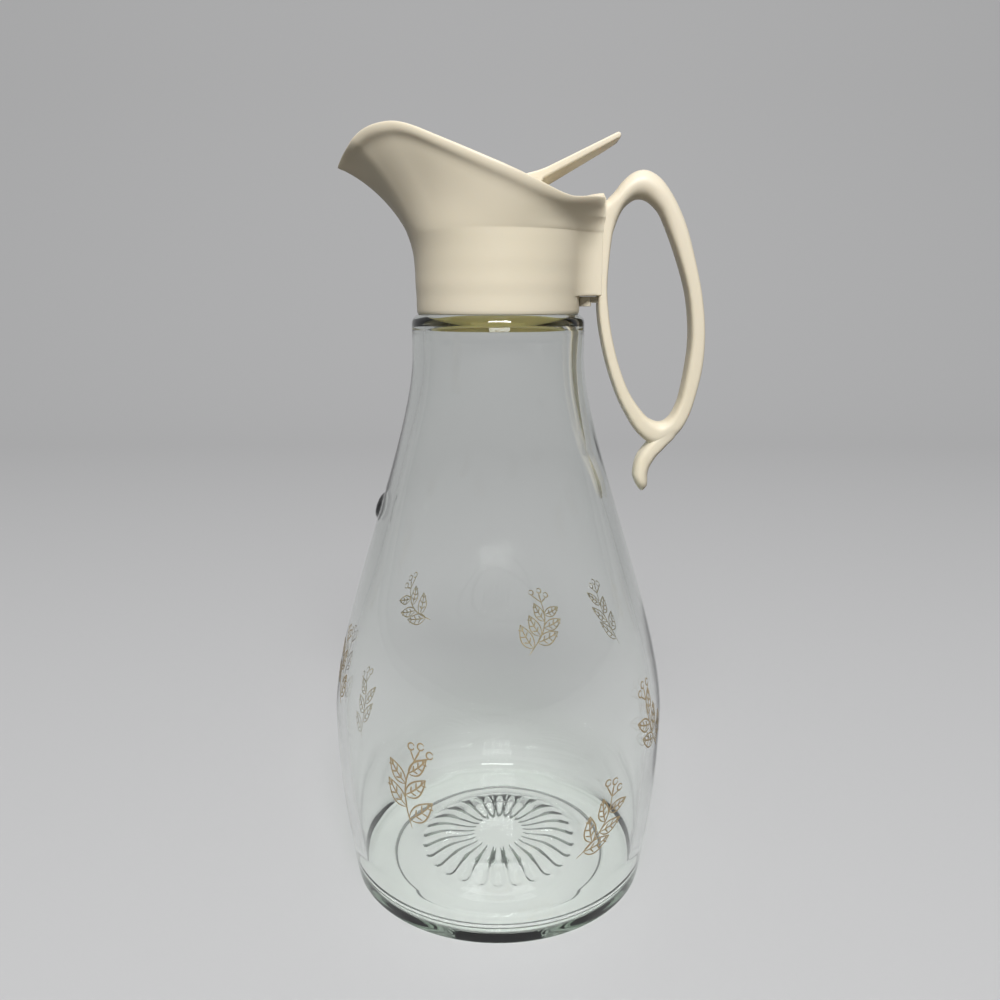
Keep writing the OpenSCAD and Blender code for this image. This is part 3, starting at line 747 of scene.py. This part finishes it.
def sprays(s):
    """All printed sprays. A spray is drawn as if its height's radius were everywhere, and each line is then
    drawn together or apart by the real radius."""
    shapes = []
    for bearing, height, heading, size, leaves, bend in SPRAYS:
        r = float(glass_radius(s, height))
        start = (math.radians(bearing) * r, height)
        for line in spray(start, math.radians(heading), size, leaves, bend):
            spread = glass_radius(s, line[:, 1]) / r
            shapes.append(ribbon(s, line * columns(spread, 0 * spread + 1), s.print_width))
    return shapes


# ---- pouring head ----
def rim_height(h, x):
    """Height of the rim over a place along the object, a smooth curve through seven knots."""
    crease, valley = h.crease_h, h.crease_h + h.valley_up
    return along([
        (-h.reach, crease + h.lip_up, 1.5),
        (-h.reach + 8.6, crease + h.lip_up + 8.3, 0.75),
        (-h.crest_x, crease + h.crest_up, 0),
        (-h.crest_x + 15.5, crease + h.crest_up - 5.2, -0.463),
        (h.valley_x - 9.5, valley + 2.8, -0.463),
        (h.valley_x, valley, 0),
        (h.back, valley + h.back_rise, 0.3),
    ], x)


def rim_plan(h, a, inset):
    """Rim seen from above: half an ellipse behind the axis; in front the cosine and sine, each raised to a
    power, draw it out into the beak."""
    c, s = np.cos(a), np.sin(a)
    behind = c >= 0
    x = np.where(behind, (h.back - inset) * c, -(h.reach - 1.1 * inset) * np.abs(np.minimum(c, 0)) ** 1.25)
    y = (h.half_w - inset) * np.where(behind, s, np.sign(s) * np.abs(s) ** 1.5)
    return x, y


def wall_line(h, a, inset, foot_r, foot_z, t):
    """Upright lines of the wall, one for each bearing: a Bezier from the foot circle to the rim that leaves
    upright and arrives flaring out, the more so the nearer it is to the beak."""
    x, y = rim_plan(h, a, inset)
    foot = around(foot_r, a, foot_z)
    top = columns(x, y, rim_height(h, x))
    out = (top - foot) * [1, 1, 0]
    beak = limit((np.hypot(x, y) - h.half_w) / (h.reach - h.half_w))[..., None]
    lift = beak * inset * 0.9
    up = np.array([0, 0, 1.0])
    rise = top[..., 2:] - foot[..., 2:]
    share = smooth(beak, 0.35, 1)
    low_out, high_out = mix(0.25, 0.085, smooth(beak, 0, 0.3)), mix(0.25, 0.56, share)
    b = foot + out * low_out + up * (mix(0.28 * rise, 5, share) + lift)
    c = top - out * high_out - up * (mix(0.27 * rise, 5.6, share) - lift)
    t = np.asarray(t, float)
    t = t[:, None, None] if t.ndim == 1 else t[..., None]
    return bezier(foot, b, c, top, t)


def normals(grid):
    """Unit normals of a grid of points [row, column, xyz] whose columns join up in a ring, pointing away from
    the axis."""
    across = np.roll(grid, -1, 1) - np.roll(grid, 1, 1)
    n = np.cross(across, np.gradient(grid, axis=0))
    n /= np.linalg.norm(n, axis=-1, keepdims=True)
    return n * np.sign(np.sum(n[..., :2] * grid[..., :2], axis=(-1, -2)).mean())


# section of the rolled rim: place down from the edge, and how far in it lies; 1 is the wall's own surface
BEAD = [
    (2, 1), (1.75, 0.96), (1.52, 0.86), (1.33, 0.68), (1.17, 0.44), (1.03, 0.2), (0.9, 0.03), (0.78, -0.06),
    (0.65, -0.08), (0.5, -0.03), (0.36, 0.08), (0.23, 0.24), (0.13, 0.42), (0.06, 0.62), (0.01, 0.95),
]


def beak_share(a):
    """1 under the beak, falling off to both sides as the fourth power of half of 1 less the cosine."""
    return (0.5 - 0.5 * np.cos(a)) ** 4


def lean_at(h, z):
    """How far the back boss leans out: from 0 a little below the crease to 1 at the height of the rim's
    valley."""
    return smooth(z, h.crease_h - 9, h.crease_h + h.valley_up) ** 1.7


class Boss:
    """The back boss as part of the head's rows. The first columns of a row draw one half of it, the last ones
    the other, and those between go round the wall from one root of the boss to the other."""

    def __init__(self, h):
        self.h = h
        root = around(h.collar_r, self.root_at(0), 0)[:2]
        x, y = self.half(h.boss_x + 1.4, h.boss_half_w, 0, root).T
        self.side = np.arctan2(y, x)
        self.n = len(self.side)

    def root_at(self, lean):
        """Bearing of the root, which spreads as the boss leans out."""
        return math.radians(26 + 19 * lean)

    def half(self, reach, half_w, lean, root, corner=0.5):
        """One half seen from above: the flat back face, its rounded corner, and a hollow flank that bends
        away and meets the round wall at its root along the wall's own direction."""
        round_corner = arc(reach - corner, half_w - corner, corner, 0, 88, 6)
        nose = np.vstack([[reach, 0], [reach, half_w * 0.5], round_corner])
        bend_y = half_w + 0.7 + 7 * lean
        bend = np.array([root[0] + (root[1] - bend_y) * math.tan(self.root_at(lean)), bend_y])
        t = np.linspace(0, 1, 24)[1:-1, None]
        return np.vstack([nose, nose[-1] * (1 - t) ** 2 + bend * 2 * t * (1 - t) + root * t * t])

    def bearings(self, lean):
        """Bearings of one row's columns."""
        root = self.root_at(lean)
        half = self.side * root / self.root_at(0)
        return np.concatenate([half, np.linspace(root, TURN - root, 250), TURN - half[:0:-1]])

    def joined(self, row, lean, cut, rim_z=None):
        """The row with the boss in it, drawn in by a cut. Near the rim its back rises with the rim."""
        h, n, root = self.h, self.n, row[self.n]
        half = self.half(h.boss_x + h.ledge - cut, h.boss_half_w - cut, lean, root[:2])
        z = np.full(n, root[2])
        if rim_z:
            tilt = lambda x: 1.3 * smooth(x, h.valley_x, h.back + 4)
            z += (root[2] - h.crease_h) / (rim_z - h.crease_h) * (tilt(half[:, 0]) - tilt(root[0]))
        row = row.copy()
        row[:n] = np.column_stack([half, z])
        row[1 - n:] = row[n - 1 : 0 : -1] * [1, -1, 1]
        return row


def collar_rows(h, boss):
    """Rows up the collar: its rounded lower edge, the plain wall, the boss's lower edge, and the wall with
    the boss up to the crease. The wall leans out to the crease, under the beak more so, and is a bit wavy."""
    height, under = h.crease_h - h.collar_bottom, h.boss_bottom - h.collar_bottom
    corner = ((0, 0.5), (0.12, 0.2), (0.4, 0))
    rows = [around(h.collar_r - cut, boss.bearings(0), h.collar_bottom + up) for up, cut in corner]
    plain = [(up, None) for up in (1.5, 3.2, 4.6, under)]
    edge = [(under + 0.02, 0.5), (under + 0.14, 0.2), (under + 0.42, 0)]
    joined = [(up, 0) for up in np.linspace(under + 1.2, height - 0.12, 30)]
    for up, cut in plain + edge + joined:
        z, share = h.collar_bottom + up, up / height
        lean = 0 if cut is None else float(lean_at(h, z))
        a = boss.bearings(lean)
        wave = 0.07 * math.sin(share * 21) * (1 - share)
        out = h.flare * beak_share(a) * max(0, (z - h.flare_h) / (h.crease_h - h.flare_h)) ** 2
        row = around(mix(h.collar_r, h.crease_r, share) + wave + out, a, z)
        rows.append(row if cut is None else boss.joined(row, lean, cut))
    return np.stack(rows)


def wall_rows(h, boss):
    """Rows up the wall and round the rolled rim, with the boss: the wall's lines moved along their normals,
    out by the bow and the bead, and in by the dip, which is t squared times (1 - t) cubed over its peak."""
    fall, step = np.array(BEAD).T
    plain = np.linspace(0.015, 1, 30)[:-1]
    k = len(plain)
    rise = np.concatenate([plain * 0.62, mix(0.62, 1, 1 - fall / fall[0])])
    lean = lean_at(h, h.crease_h + rise * h.valley_up)
    a = np.array([boss.bearings(v) for v in lean])
    foot_r = h.crease_r - 0.02 + h.flare * beak_share(a)
    line = lambda t: wall_line(h, a, 0, foot_r, h.crease_h, t)
    whole = np.ones(a.shape)
    top, below = line(whole), line(whole * 0.97)
    ahead = -np.cos(a)
    tip, behind = smooth(ahead, 0.86, 1), smooth(-ahead, 0.2, 0.8)
    length_at_top = np.linalg.norm(top - below, axis=-1) / 0.03
    bead = h.bead_h * (1 - 0.5 * tip) * (1 - 0.3 * behind) / length_at_top
    t = np.concatenate([plain[:, None] * (1 - fall[0] * bead[:k]), 1 - fall[:, None] * bead[k:]])
    height = limit((top[..., 2] - h.crease_h) / h.crest_up)
    roll = np.concatenate([0 * plain, step - 1])[:, None] * (1 - 0.85 * tip) * (1 - 0.35 * behind)
    dip_at = smooth(ahead, 0, 0.6) * (1 - smooth(ahead, 0.85, 0.985)) + 2.2 * smooth(-ahead, 0.2, 0.7)
    hollow = 28.9 * t**2 * (1 - t) ** 3
    inset = h.bead_proud * roll + h.dip * height * dip_at * hollow - h.bow * (1 - tip) * t
    wall = line(t)
    wall -= normals(wall) * inset[..., None]
    cuts, rim_z = np.maximum(inset[:, boss.n], -0.7), rim_height(h, top[:, boss.n, 0])
    return np.stack([boss.joined(*row) for row in zip(wall, lean, cuts, rim_z)])


def rim_rows(h, edge, inner):
    """Rows over the rim from its outer edge to the inner wall, with the raised ledge before the handle."""
    rows = []
    for share, lift in ((0.12, 0.96), (0.3, 1), (0.55, 1), (0.82, 0.9)):
        row = mix(edge, inner, share)
        aside = smooth(np.abs(row[:, 1]), h.boss_half_w, h.boss_half_w + 3)
        ledge = limit((row[:, 0] - h.back + 2.5) / 6) * (1 - aside)
        row[:, 2] += 1.7 * lift * ledge - (0.12 if share > 0.8 else 0)
        rows.append(row)
    return np.stack(rows)


def inside_rows(h, a):
    """Rows down the inside: the wall, over the deck and round its opening, and down the threaded bore."""
    shaft, deck_top, hole = h.crease_r - h.wall, h.deck_z + h.deck_t, h.deck_hole_r
    wall = wall_line(h, a, h.wall, shaft, h.crease_h, np.linspace(0.02, 0.95, 30))[::-1]
    deck = [
        (shaft, h.crease_h - 1.5), (shaft - 0.1, deck_top + 0.8), (shaft - 0.8, deck_top),
        (hole + 0.4, deck_top), (hole, deck_top - 0.4), (hole, h.deck_z + 0.3), (hole + 0.3, h.deck_z),
        (h.bore_r - 0.3, h.deck_z), (h.bore_r, h.deck_z - 0.4),
    ]
    z = np.linspace(h.deck_z - 1, h.collar_bottom + 0.5, 60)[:, None]
    bore = around(h.bore_r - thread_ridge(h.collar_bottom + 4.3, a, z), a, z)
    mouth = [(h.bore_r + 0.15, h.collar_bottom + 0.1)]
    return np.concatenate([wall, turned(deck, a), bore, turned(mouth, a)])


def head_shell(h):
    """The head as one closed surface: up the collar, over the crease, up the wall, round the rolled rim, down
    the inside, round the deck and down the bore."""
    boss = Boss(h)
    a = boss.bearings(1)
    outer = wall_rows(h, boss)
    inner = wall_line(h, a, h.wall, h.crease_r - h.wall, h.crease_h, [1.0])[0]
    rim = rim_rows(h, outer[-1] + [0, 0, 0.03], inner)
    return skin(np.concatenate([collar_rows(h, boss), outer, rim, inside_rows(h, a)]), loop=True)


# ---- lid ----
def rim_half_at(h, x, inset):
    """Half width of the rim's plan at a place along the object."""
    behind = 1 - (x / (h.back - inset)) ** 2
    ahead = 1 - (np.abs(x) / (h.reach - 1.1 * inset)) ** 1.6
    share = np.where(x > 0, np.clip(behind, 0, None) ** 0.5, np.clip(ahead, 0, None) ** 0.75)
    return (h.half_w - inset) * share


def lid_flap(h, l):
    """The flap: rows across the spout's channel from beak to hinge, each a thin crowned strip with a rounded
    edge; its height is the rim's less the drop, plus a crown that falls off with the square of the distance
    from the middle."""
    front, back = h.reach - 1.1 * h.wall - l.gap - 4, l.hinge_x - 3
    x = -front + (front + back) * (0.5 - 0.5 * np.cos(np.linspace(0.12, np.pi - 0.05, 60)))
    x[0], x[-1] = -front, back
    narrower = np.where(x < 0, 2.4 * limit((-x - 8) / 22), 3.8 * limit((x + 4) / 20))
    half = (rim_half_at(h, x, h.wall) - l.gap - narrower)[:, None]
    y = half * np.sin(np.linspace(-1, 1, 25) * np.pi / 2)
    x = x[:, None] + 0 * y
    crown = l.crown * np.minimum(1, half / 14) * (1 - (y / half) ** 2)
    z = rim_height(h, x) - l.drop + crown - l.thick / 2
    edge = np.sqrt(limit(1 - (np.abs(y) - (half - 0.9)).clip(0, 0.9) ** 2 / 0.81)) * 0.45
    t = np.full((len(x), 1), l.thick / 2)
    t[[0, -1]] *= 0.3
    t = t * (0.55 + edge)
    upper, lower = (columns(x, y, z + side * t) for side in (1, -1))
    return skin(np.concatenate([upper, lower[:, ::-1]], 1))


def lid_lever(h, l):
    """The thumb lever: a side outline that leaves the flap in a soft bend, rises at the lever's slope and
    thins towards a round tip. Its sides are rounded, and its underside is bellied across by a parabola that
    fades towards the tip."""
    run = np.array([math.cos(l.lever_slope), math.sin(l.lever_slope)])
    up = np.array([-run[1], run[0]])
    root = np.array([h.valley_x - 8.2, h.crease_h + h.valley_up + 10.7])
    on_flap = lambda x, deep: np.array([x, float(rim_height(h, x)) - l.drop + l.crown - deep])
    start, heel = on_flap(root[0] - 11, l.thick / 2), on_flap(root[0] - 2.5, l.thick)
    r = l.lever_tip / 2
    tip = root + run * (l.lever_l - r) - up * r
    slope = math.degrees(l.lever_slope)
    between = lambda a, b, steps: mix(a, b, np.linspace(0, 1, steps)[1:, None])
    bend = mix(start, root, 0.55) + [0, 0.5], root - run * 3.5 - [0, 0.2]
    blend = bezier(start, *bend, root + run * 4, steps(11))
    top = between(root + run * 4, tip + up * r, 14)[:-1]
    nose = arc(*tip, r, slope + 90, slope - 90, 9)
    under = between(nose[-1], root - up * l.lever_root - run * 1.5, 16)
    outline = np.vstack([blend, top, nose, under, between(under[-1], heel, 5), between(heel, start, 7)[:-1]])
    bar = rounded_bar(outline, l.lever_w / 2, 0.6, 9)
    middle = mix(bar[8], bar[9], np.linspace(0, 1, 16)[1:-1, None, None])
    bar = np.concatenate([bar[:9], middle, bar[9:]])
    below = np.zeros(len(outline))
    first = len(blend) + len(top) + 5
    below[first:] = smooth(np.arange(len(outline) - first), -1, 6)
    depth = mix(2.9, 0.9, limit((bar[..., 0] - root[0]) / 26))
    bar[..., 2] -= below * depth * limit(1 - (bar[..., 1] / (l.lever_w / 2)) ** 2)
    return skin(bar, flat=True)


def barrel(l):
    """The lid's barrel about the hinge line, with rounded ends."""
    inset, y = (v[:, None] for v in rounded_ends(l.barrel_l / 2, 0.5))
    r, b = l.barrel_r - inset, circle(40)
    x, z = l.hinge_x + r * np.cos(b), l.hinge_z + r * np.sin(b)
    return skin(columns(x, y, z))


# ---- handle ----
# edge points of the loop, outer then inner, in percent of its reach and height, and its section's roundness
LOOP = [
    (0, 77, 12, 76.5, 0.5), (0, 67.5, 9.5, 67, 0.45), (0, 58, 8.7, 57.8, 0.45), (0.6, 49.6, 10.6, 49.6, 0.45),
    (4, 40.5, 14.2, 40.8, 0.45), (10.5, 30, 21, 30.6, 0.45), (20, 19.1, 30.3, 21.2, 0.5),
    (30.4, 10.8, 40.5, 14.8, 0.55), (41, 4.5, 50, 10.6, 0.6), (54.2, 0.5, 59.5, 8.8, 0.7),
    (68, 1, 66.4, 9.2, 0.7), (79.9, 5, 72.4, 11.3, 0.6), (88.3, 11.3, 76.9, 14.8, 0.52),
    (94, 19.3, 80.3, 19.2, 0.5), (98.6, 28.7, 84, 28.4, 0.48), (100, 37.8, 86.3, 37.5, 0.48),
    (98.8, 47, 85.4, 46.8, 0.48), (94.6, 57.7, 81.1, 57.5, 0.48), (87.3, 69.6, 71.9, 69, 0.55),
    (80.1, 79.4, 62.7, 78, 0.65), (71.4, 87.5, 54.5, 84.7, 0.8), (61.7, 93.9, 47, 87.9, 0.9),
    (52.5, 97.9, 41.5, 89.3, 1), (41.6, 100, 36.6, 89.8, 1), (31.1, 99.3, 31.6, 89.5, 1),
    (21.6, 96.4, 26.6, 88.3, 0.95), (14, 92.6, 21.6, 86.3, 0.85), (7.6, 90, 17.7, 83.5, 0.7),
    (0.8, 87, 14.7, 80.3, 0.6),
]
# the same for the tail, inner edge then outer edge; the first and last row only steer it
TAIL = [
    (68, 9, 86, 9.5), (63.5, 6.4, 80.6, 6.3), (58, 3.8, 75.5, 2.7), (52, 1.2, 69.8, 0.3),
    (46.5, -1.5, 65, -1.9), (42.3, -3.9, 60.5, -3.9), (39.5, -6.7, 56.5, -6.4), (38.3, -9.3, 53.4, -8.9),
    (38, -12, 52, -11.6), (39.8, -14.3, 52.2, -14), (42.3, -16.2, 51.7, -16), (46, -18, 48.6, -17.8),
    (49, -19.4, 46, -19.4),
]


def handle_shapes(n):
    """Loop and tail, both as rounded sections between pairs of edge points on smooth curves. The loop is
    closed; the tail thins to a round end."""
    corner, scale = np.array([n.limb_x, n.top - n.height]), np.array([n.reach, n.height]) / 100
    outer_inner = lambda rows: (corner + rows[:, :2] * scale, corner + rows[:, 2:4] * scale)
    rows = round_trip(LOOP, np.arange(len(LOOP) * 10) / 10)
    loop = spanned(*outer_inner(rows), np.full(len(rows), n.width / 2), rows[:, 4])
    s = np.linspace(1, len(TAIL) - 2, 70)
    end = np.sqrt(1 - limit((s - 8) / (s[-1] - 7.9)) ** 2) * (1 - 0.04 * smooth(s, 3, 7))
    half_w, power = (n.width / 2 - 0.02) * end, 0.6 + 0.25 * smooth(s, 3, 8)
    tail = spanned(*outer_inner(round_trip(TAIL, s)), half_w, power)
    return [skin(loop, loop=True), skin(tail)]


def rail_bar(x0, x1, half_w, z0, z1, edge=0.35):
    """A flat bar with rounded edges between two places, heights and sides."""
    corners = np.array([(x0, z0), (x1, z0), (x1, z1), (x0, z1)], float)
    t = np.linspace(0.04, 0.96, 6)[:, None]
    line = np.vstack([mix(start, end, t) for start, end in zip(corners, np.roll(corners, -1, 0))])
    return skin(rounded_bar(line, half_w, edge), flat=True)


def rail_shapes(boss_bottom):
    """The rail that slides into the back boss: its flange and web in the slot, and their wider foot below."""
    slot_top, foot_top = 259.7, boss_bottom - 0.15
    return [
        rail_bar(31.1, 33.7, 3.7, boss_bottom, slot_top),
        rail_bar(32.7, 38, 2, boss_bottom, slot_top),
        rail_bar(30, 34.1, 3.7, boss_bottom - 3.7, foot_top),
        rail_bar(33.2, 38, 2.6, boss_bottom - 2.4, foot_top),
    ]


# ---- operators ----
class CARAFE_OT_glass(bpy.types.Operator):
    """Builds the glass body with its star, thread and button, and the sprays printed on it"""

    bl_idname = "carafe.glass"
    bl_label = "Glass"

    def execute(self, context):
        g = context.scene.carafe_glass
        s = sizes(g)
        s.ribs = g.ribs
        body = skin(glass_surface(s))
        piece("glass_body", [body], "carafe", clear_glass(g), ["glass_carafe"], sharp=50)
        piece("printed_sprays", sprays(s), "carafe", gold_print(g))
        return {"FINISHED"}


class CARAFE_OT_seal(bpy.types.Operator):
    """Builds the soft seal sleeve inside the glass rim"""

    bl_idname = "carafe.seal"
    bl_label = "Seal"

    def execute(self, context):
        h = context.scene.carafe_head
        low, high, bore, skirt, flange = 219.5, 246.6, 23.4, 25.52, 27
        line = [
            (bore + 0.2, low), (skirt - 0.32, low), (skirt - 0.04, low + 0.3), (skirt, low + 0.8),
            (skirt, 232), (skirt, 244.2), (25.35, 245), (25.7, 245.1), (flange - 0.3, 245.1),
            (flange, 245.4), (flange, high - 0.3), (flange - 0.3, high), (bore + 0.3, high),
            (bore, high - 0.3), (bore, low + 0.3),
        ]
        ring = skin(turned(line, circle(160)), loop=True)
        piece("seal_ring", [ring], "seal", soft_seal(h), ["seal_sleeve"])
        return {"FINISHED"}


class CARAFE_OT_head(bpy.types.Operator):
    """Builds the pouring head with its collar, spout and back boss"""

    bl_idname = "carafe.head"
    bl_label = "Pouring head"

    def execute(self, context):
        h = context.scene.carafe_head
        shell = head_shell(sizes(h))
        piece("pouring_shell", [shell], "head", cream_plastic(h), ["pouring_head"])
        return {"FINISHED"}


class CARAFE_OT_lid(bpy.types.Operator):
    """Builds the flip lid with its thumb lever and finishes the hinge pin"""

    bl_idname = "carafe.lid"
    bl_label = "Lid and pin"

    def execute(self, context):
        scene = context.scene
        h, l = sizes(scene.carafe_head), sizes(scene.carafe_lid)
        l.lever_slope = scene.carafe_lid.lever_slope
        finish = cream_plastic(scene.carafe_head, "lid_plastic")
        shapes = [lid_flap(h, l), lid_lever(h, l), barrel(l)]
        piece("lid_flap", shapes, "lid", finish, ["lid"])
        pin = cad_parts["hinge_pin"]
        pin.data.materials.clear()
        pin.data.materials.append(pin_steel(scene.carafe_lid))
        return {"FINISHED"}


class CARAFE_OT_handle(bpy.types.Operator):
    """Builds the loop handle with its tail and the rail that slides into the back boss"""

    bl_idname = "carafe.handle"
    bl_label = "Handle"

    def execute(self, context):
        scene = context.scene
        h, n = sizes(scene.carafe_head), sizes(scene.carafe_handle)
        finish = cream_plastic(scene.carafe_head, "handle_plastic")
        shapes = handle_shapes(n) + rail_shapes(h.boss_bottom)
        piece("handle_loop", shapes, "head", finish, ["handle"])
        return {"FINISHED"}


def stage_floor(stage):
    """Plain paint, half of it glowing where the camera sees it, straight, mirrored or through glass. The
    light that it throws back at the object has its own colour."""
    f = Finish("stage_floor")
    rays = (f.node("LightPath", out=f"Is {kind} Ray") for kind in ("Camera", "Glossy", "Transmission"))
    seen = sum(rays, 0)
    seen = seen.math("MINIMUM", seen, 1.0)
    paint = f.node("BsdfPrincipled", sockets={
        "Base Color": f.blend(seen, tuple(stage.floor_light), tuple(stage.floor)),
        "Roughness": 0.7,
    })
    glow = f.node("Emission", sockets={"Color": tuple(stage.floor)})
    return f.done(f.node("MixShader", sockets={0: 0.5 * seen, 1: paint, 2: glow}))


def sweep_mesh(finish):
    """Floor and backdrop in one: a line of (depth, height) with a round bend, carried 8 m across."""
    low = -0.0004
    line = np.vstack([[(-3, 0), (1.1, 0)], arc(1.1, 0.7, 0.7, -90, 0, 30), [(1.8, 3.2)]]) + [0, low]
    grid = columns(np.linspace(-4, 4, 3), line[:, :1], line[:, 1:])
    index = np.arange(len(line) * 3).reshape(-1, 3)
    quads = columns(index[:-1, :-1], index[:-1, 1:], index[1:, 1:], index[1:, :-1]).reshape(-1, 4)
    mesh = bpy.data.meshes.new("sweep")
    mesh.from_pydata(grid.reshape(-1, 3).tolist(), [], quads.tolist())
    mesh.polygons.foreach_set("use_smooth", np.ones(len(mesh.polygons), bool))
    mesh.materials.append(finish)
    return mesh


# name, place in metres, turn in degrees, size in metres, power in watts
LAMPS = [
    ("key", (0.05, -1.1, 1.32), (45, 0, 3), (0.7, 0.5), 31),
    ("top", (0, 0.35, 1.6), (-8, 0, 0), (0.9, 0.5), 2.6),
]


class CARAFE_OT_stage(bpy.types.Operator):
    """Sets the pale floor and backdrop, the soft lights and the camera"""

    bl_idname = "carafe.stage"
    bl_label = "Stage"

    def execute(self, context):
        scene, stage = context.scene, context.scene.carafe_stage

        def add(name, data, place=(0, 0, 0), turn=(0, 0, 0)):
            made = bpy.data.objects.new(name, data)
            made.location, made.rotation_euler = place, Euler(turn)
            scene.collection.objects.link(made)
            return made

        add("sweep", sweep_mesh(stage_floor(stage)))
        for name, place, turn, size, power in LAMPS:
            lamp = bpy.data.lights.new(name, "AREA")
            lamp.shape, lamp.energy = "RECTANGLE", power
            lamp.size, lamp.size_y = size
            add(name, lamp, place, [math.radians(v) for v in turn])
        scene.world = bpy.data.worlds.new("studio")
        scene.world.use_nodes = True
        sky = scene.world.node_tree.nodes["Background"].inputs
        sky["Color"].default_value = (*stage.sky, 1)
        sky["Strength"].default_value = stage.sky_light
        camera = bpy.data.cameras.new("camera")
        camera.lens, camera.sensor_width, camera.clip_start = stage.lens, 36, 0.01
        scene.camera = add("camera", camera, stage.eye, (stage.pitch, 0, 0))
        scene.view_settings.view_transform = "Standard"
        return {"FINISHED"}


OPERATORS = (
    CARAFE_OT_glass, CARAFE_OT_seal, CARAFE_OT_head, CARAFE_OT_lid, CARAFE_OT_handle, CARAFE_OT_stage,
)
GROUPS = {
    "carafe_glass": CarafeGlass,
    "carafe_head": CarafeHead,
    "carafe_lid": CarafeLid,
    "carafe_handle": CarafeHandle,
    "carafe_stage": CarafeStage,
}


class CARAFE_PT_panel(bpy.types.Panel):
    """Lists the carafe's pieces and their sizes"""

    bl_idname = "CARAFE_PT_panel"
    bl_label = "Carafe"
    bl_space_type = "VIEW_3D"
    bl_region_type = "UI"
    bl_category = "Carafe"

    def draw(self, context):
        for operator in OPERATORS:
            self.layout.operator(operator.bl_idname)
        for name, group in GROUPS.items():
            box = self.layout.box()
            box.label(text=group.__doc__)
            for key in group.__annotations__:
                box.prop(getattr(context.scene, name), key)


CLASSES = (*GROUPS.values(), *OPERATORS, CARAFE_PT_panel)


def register():
    for made in CLASSES:
        bpy.utils.register_class(made)
    for name, group in GROUPS.items():
        setattr(bpy.types.Scene, name, PointerProperty(type=group))


def unregister():
    for name in GROUPS:
        delattr(bpy.types.Scene, name)
    for made in reversed(CLASSES):
        bpy.utils.unregister_class(made)


def main():
    register()
    for operator in OPERATORS:
        group, name = operator.bl_idname.split(".")
        getattr(getattr(bpy.ops, group), name)()


if __name__ == "__main__":
    main()
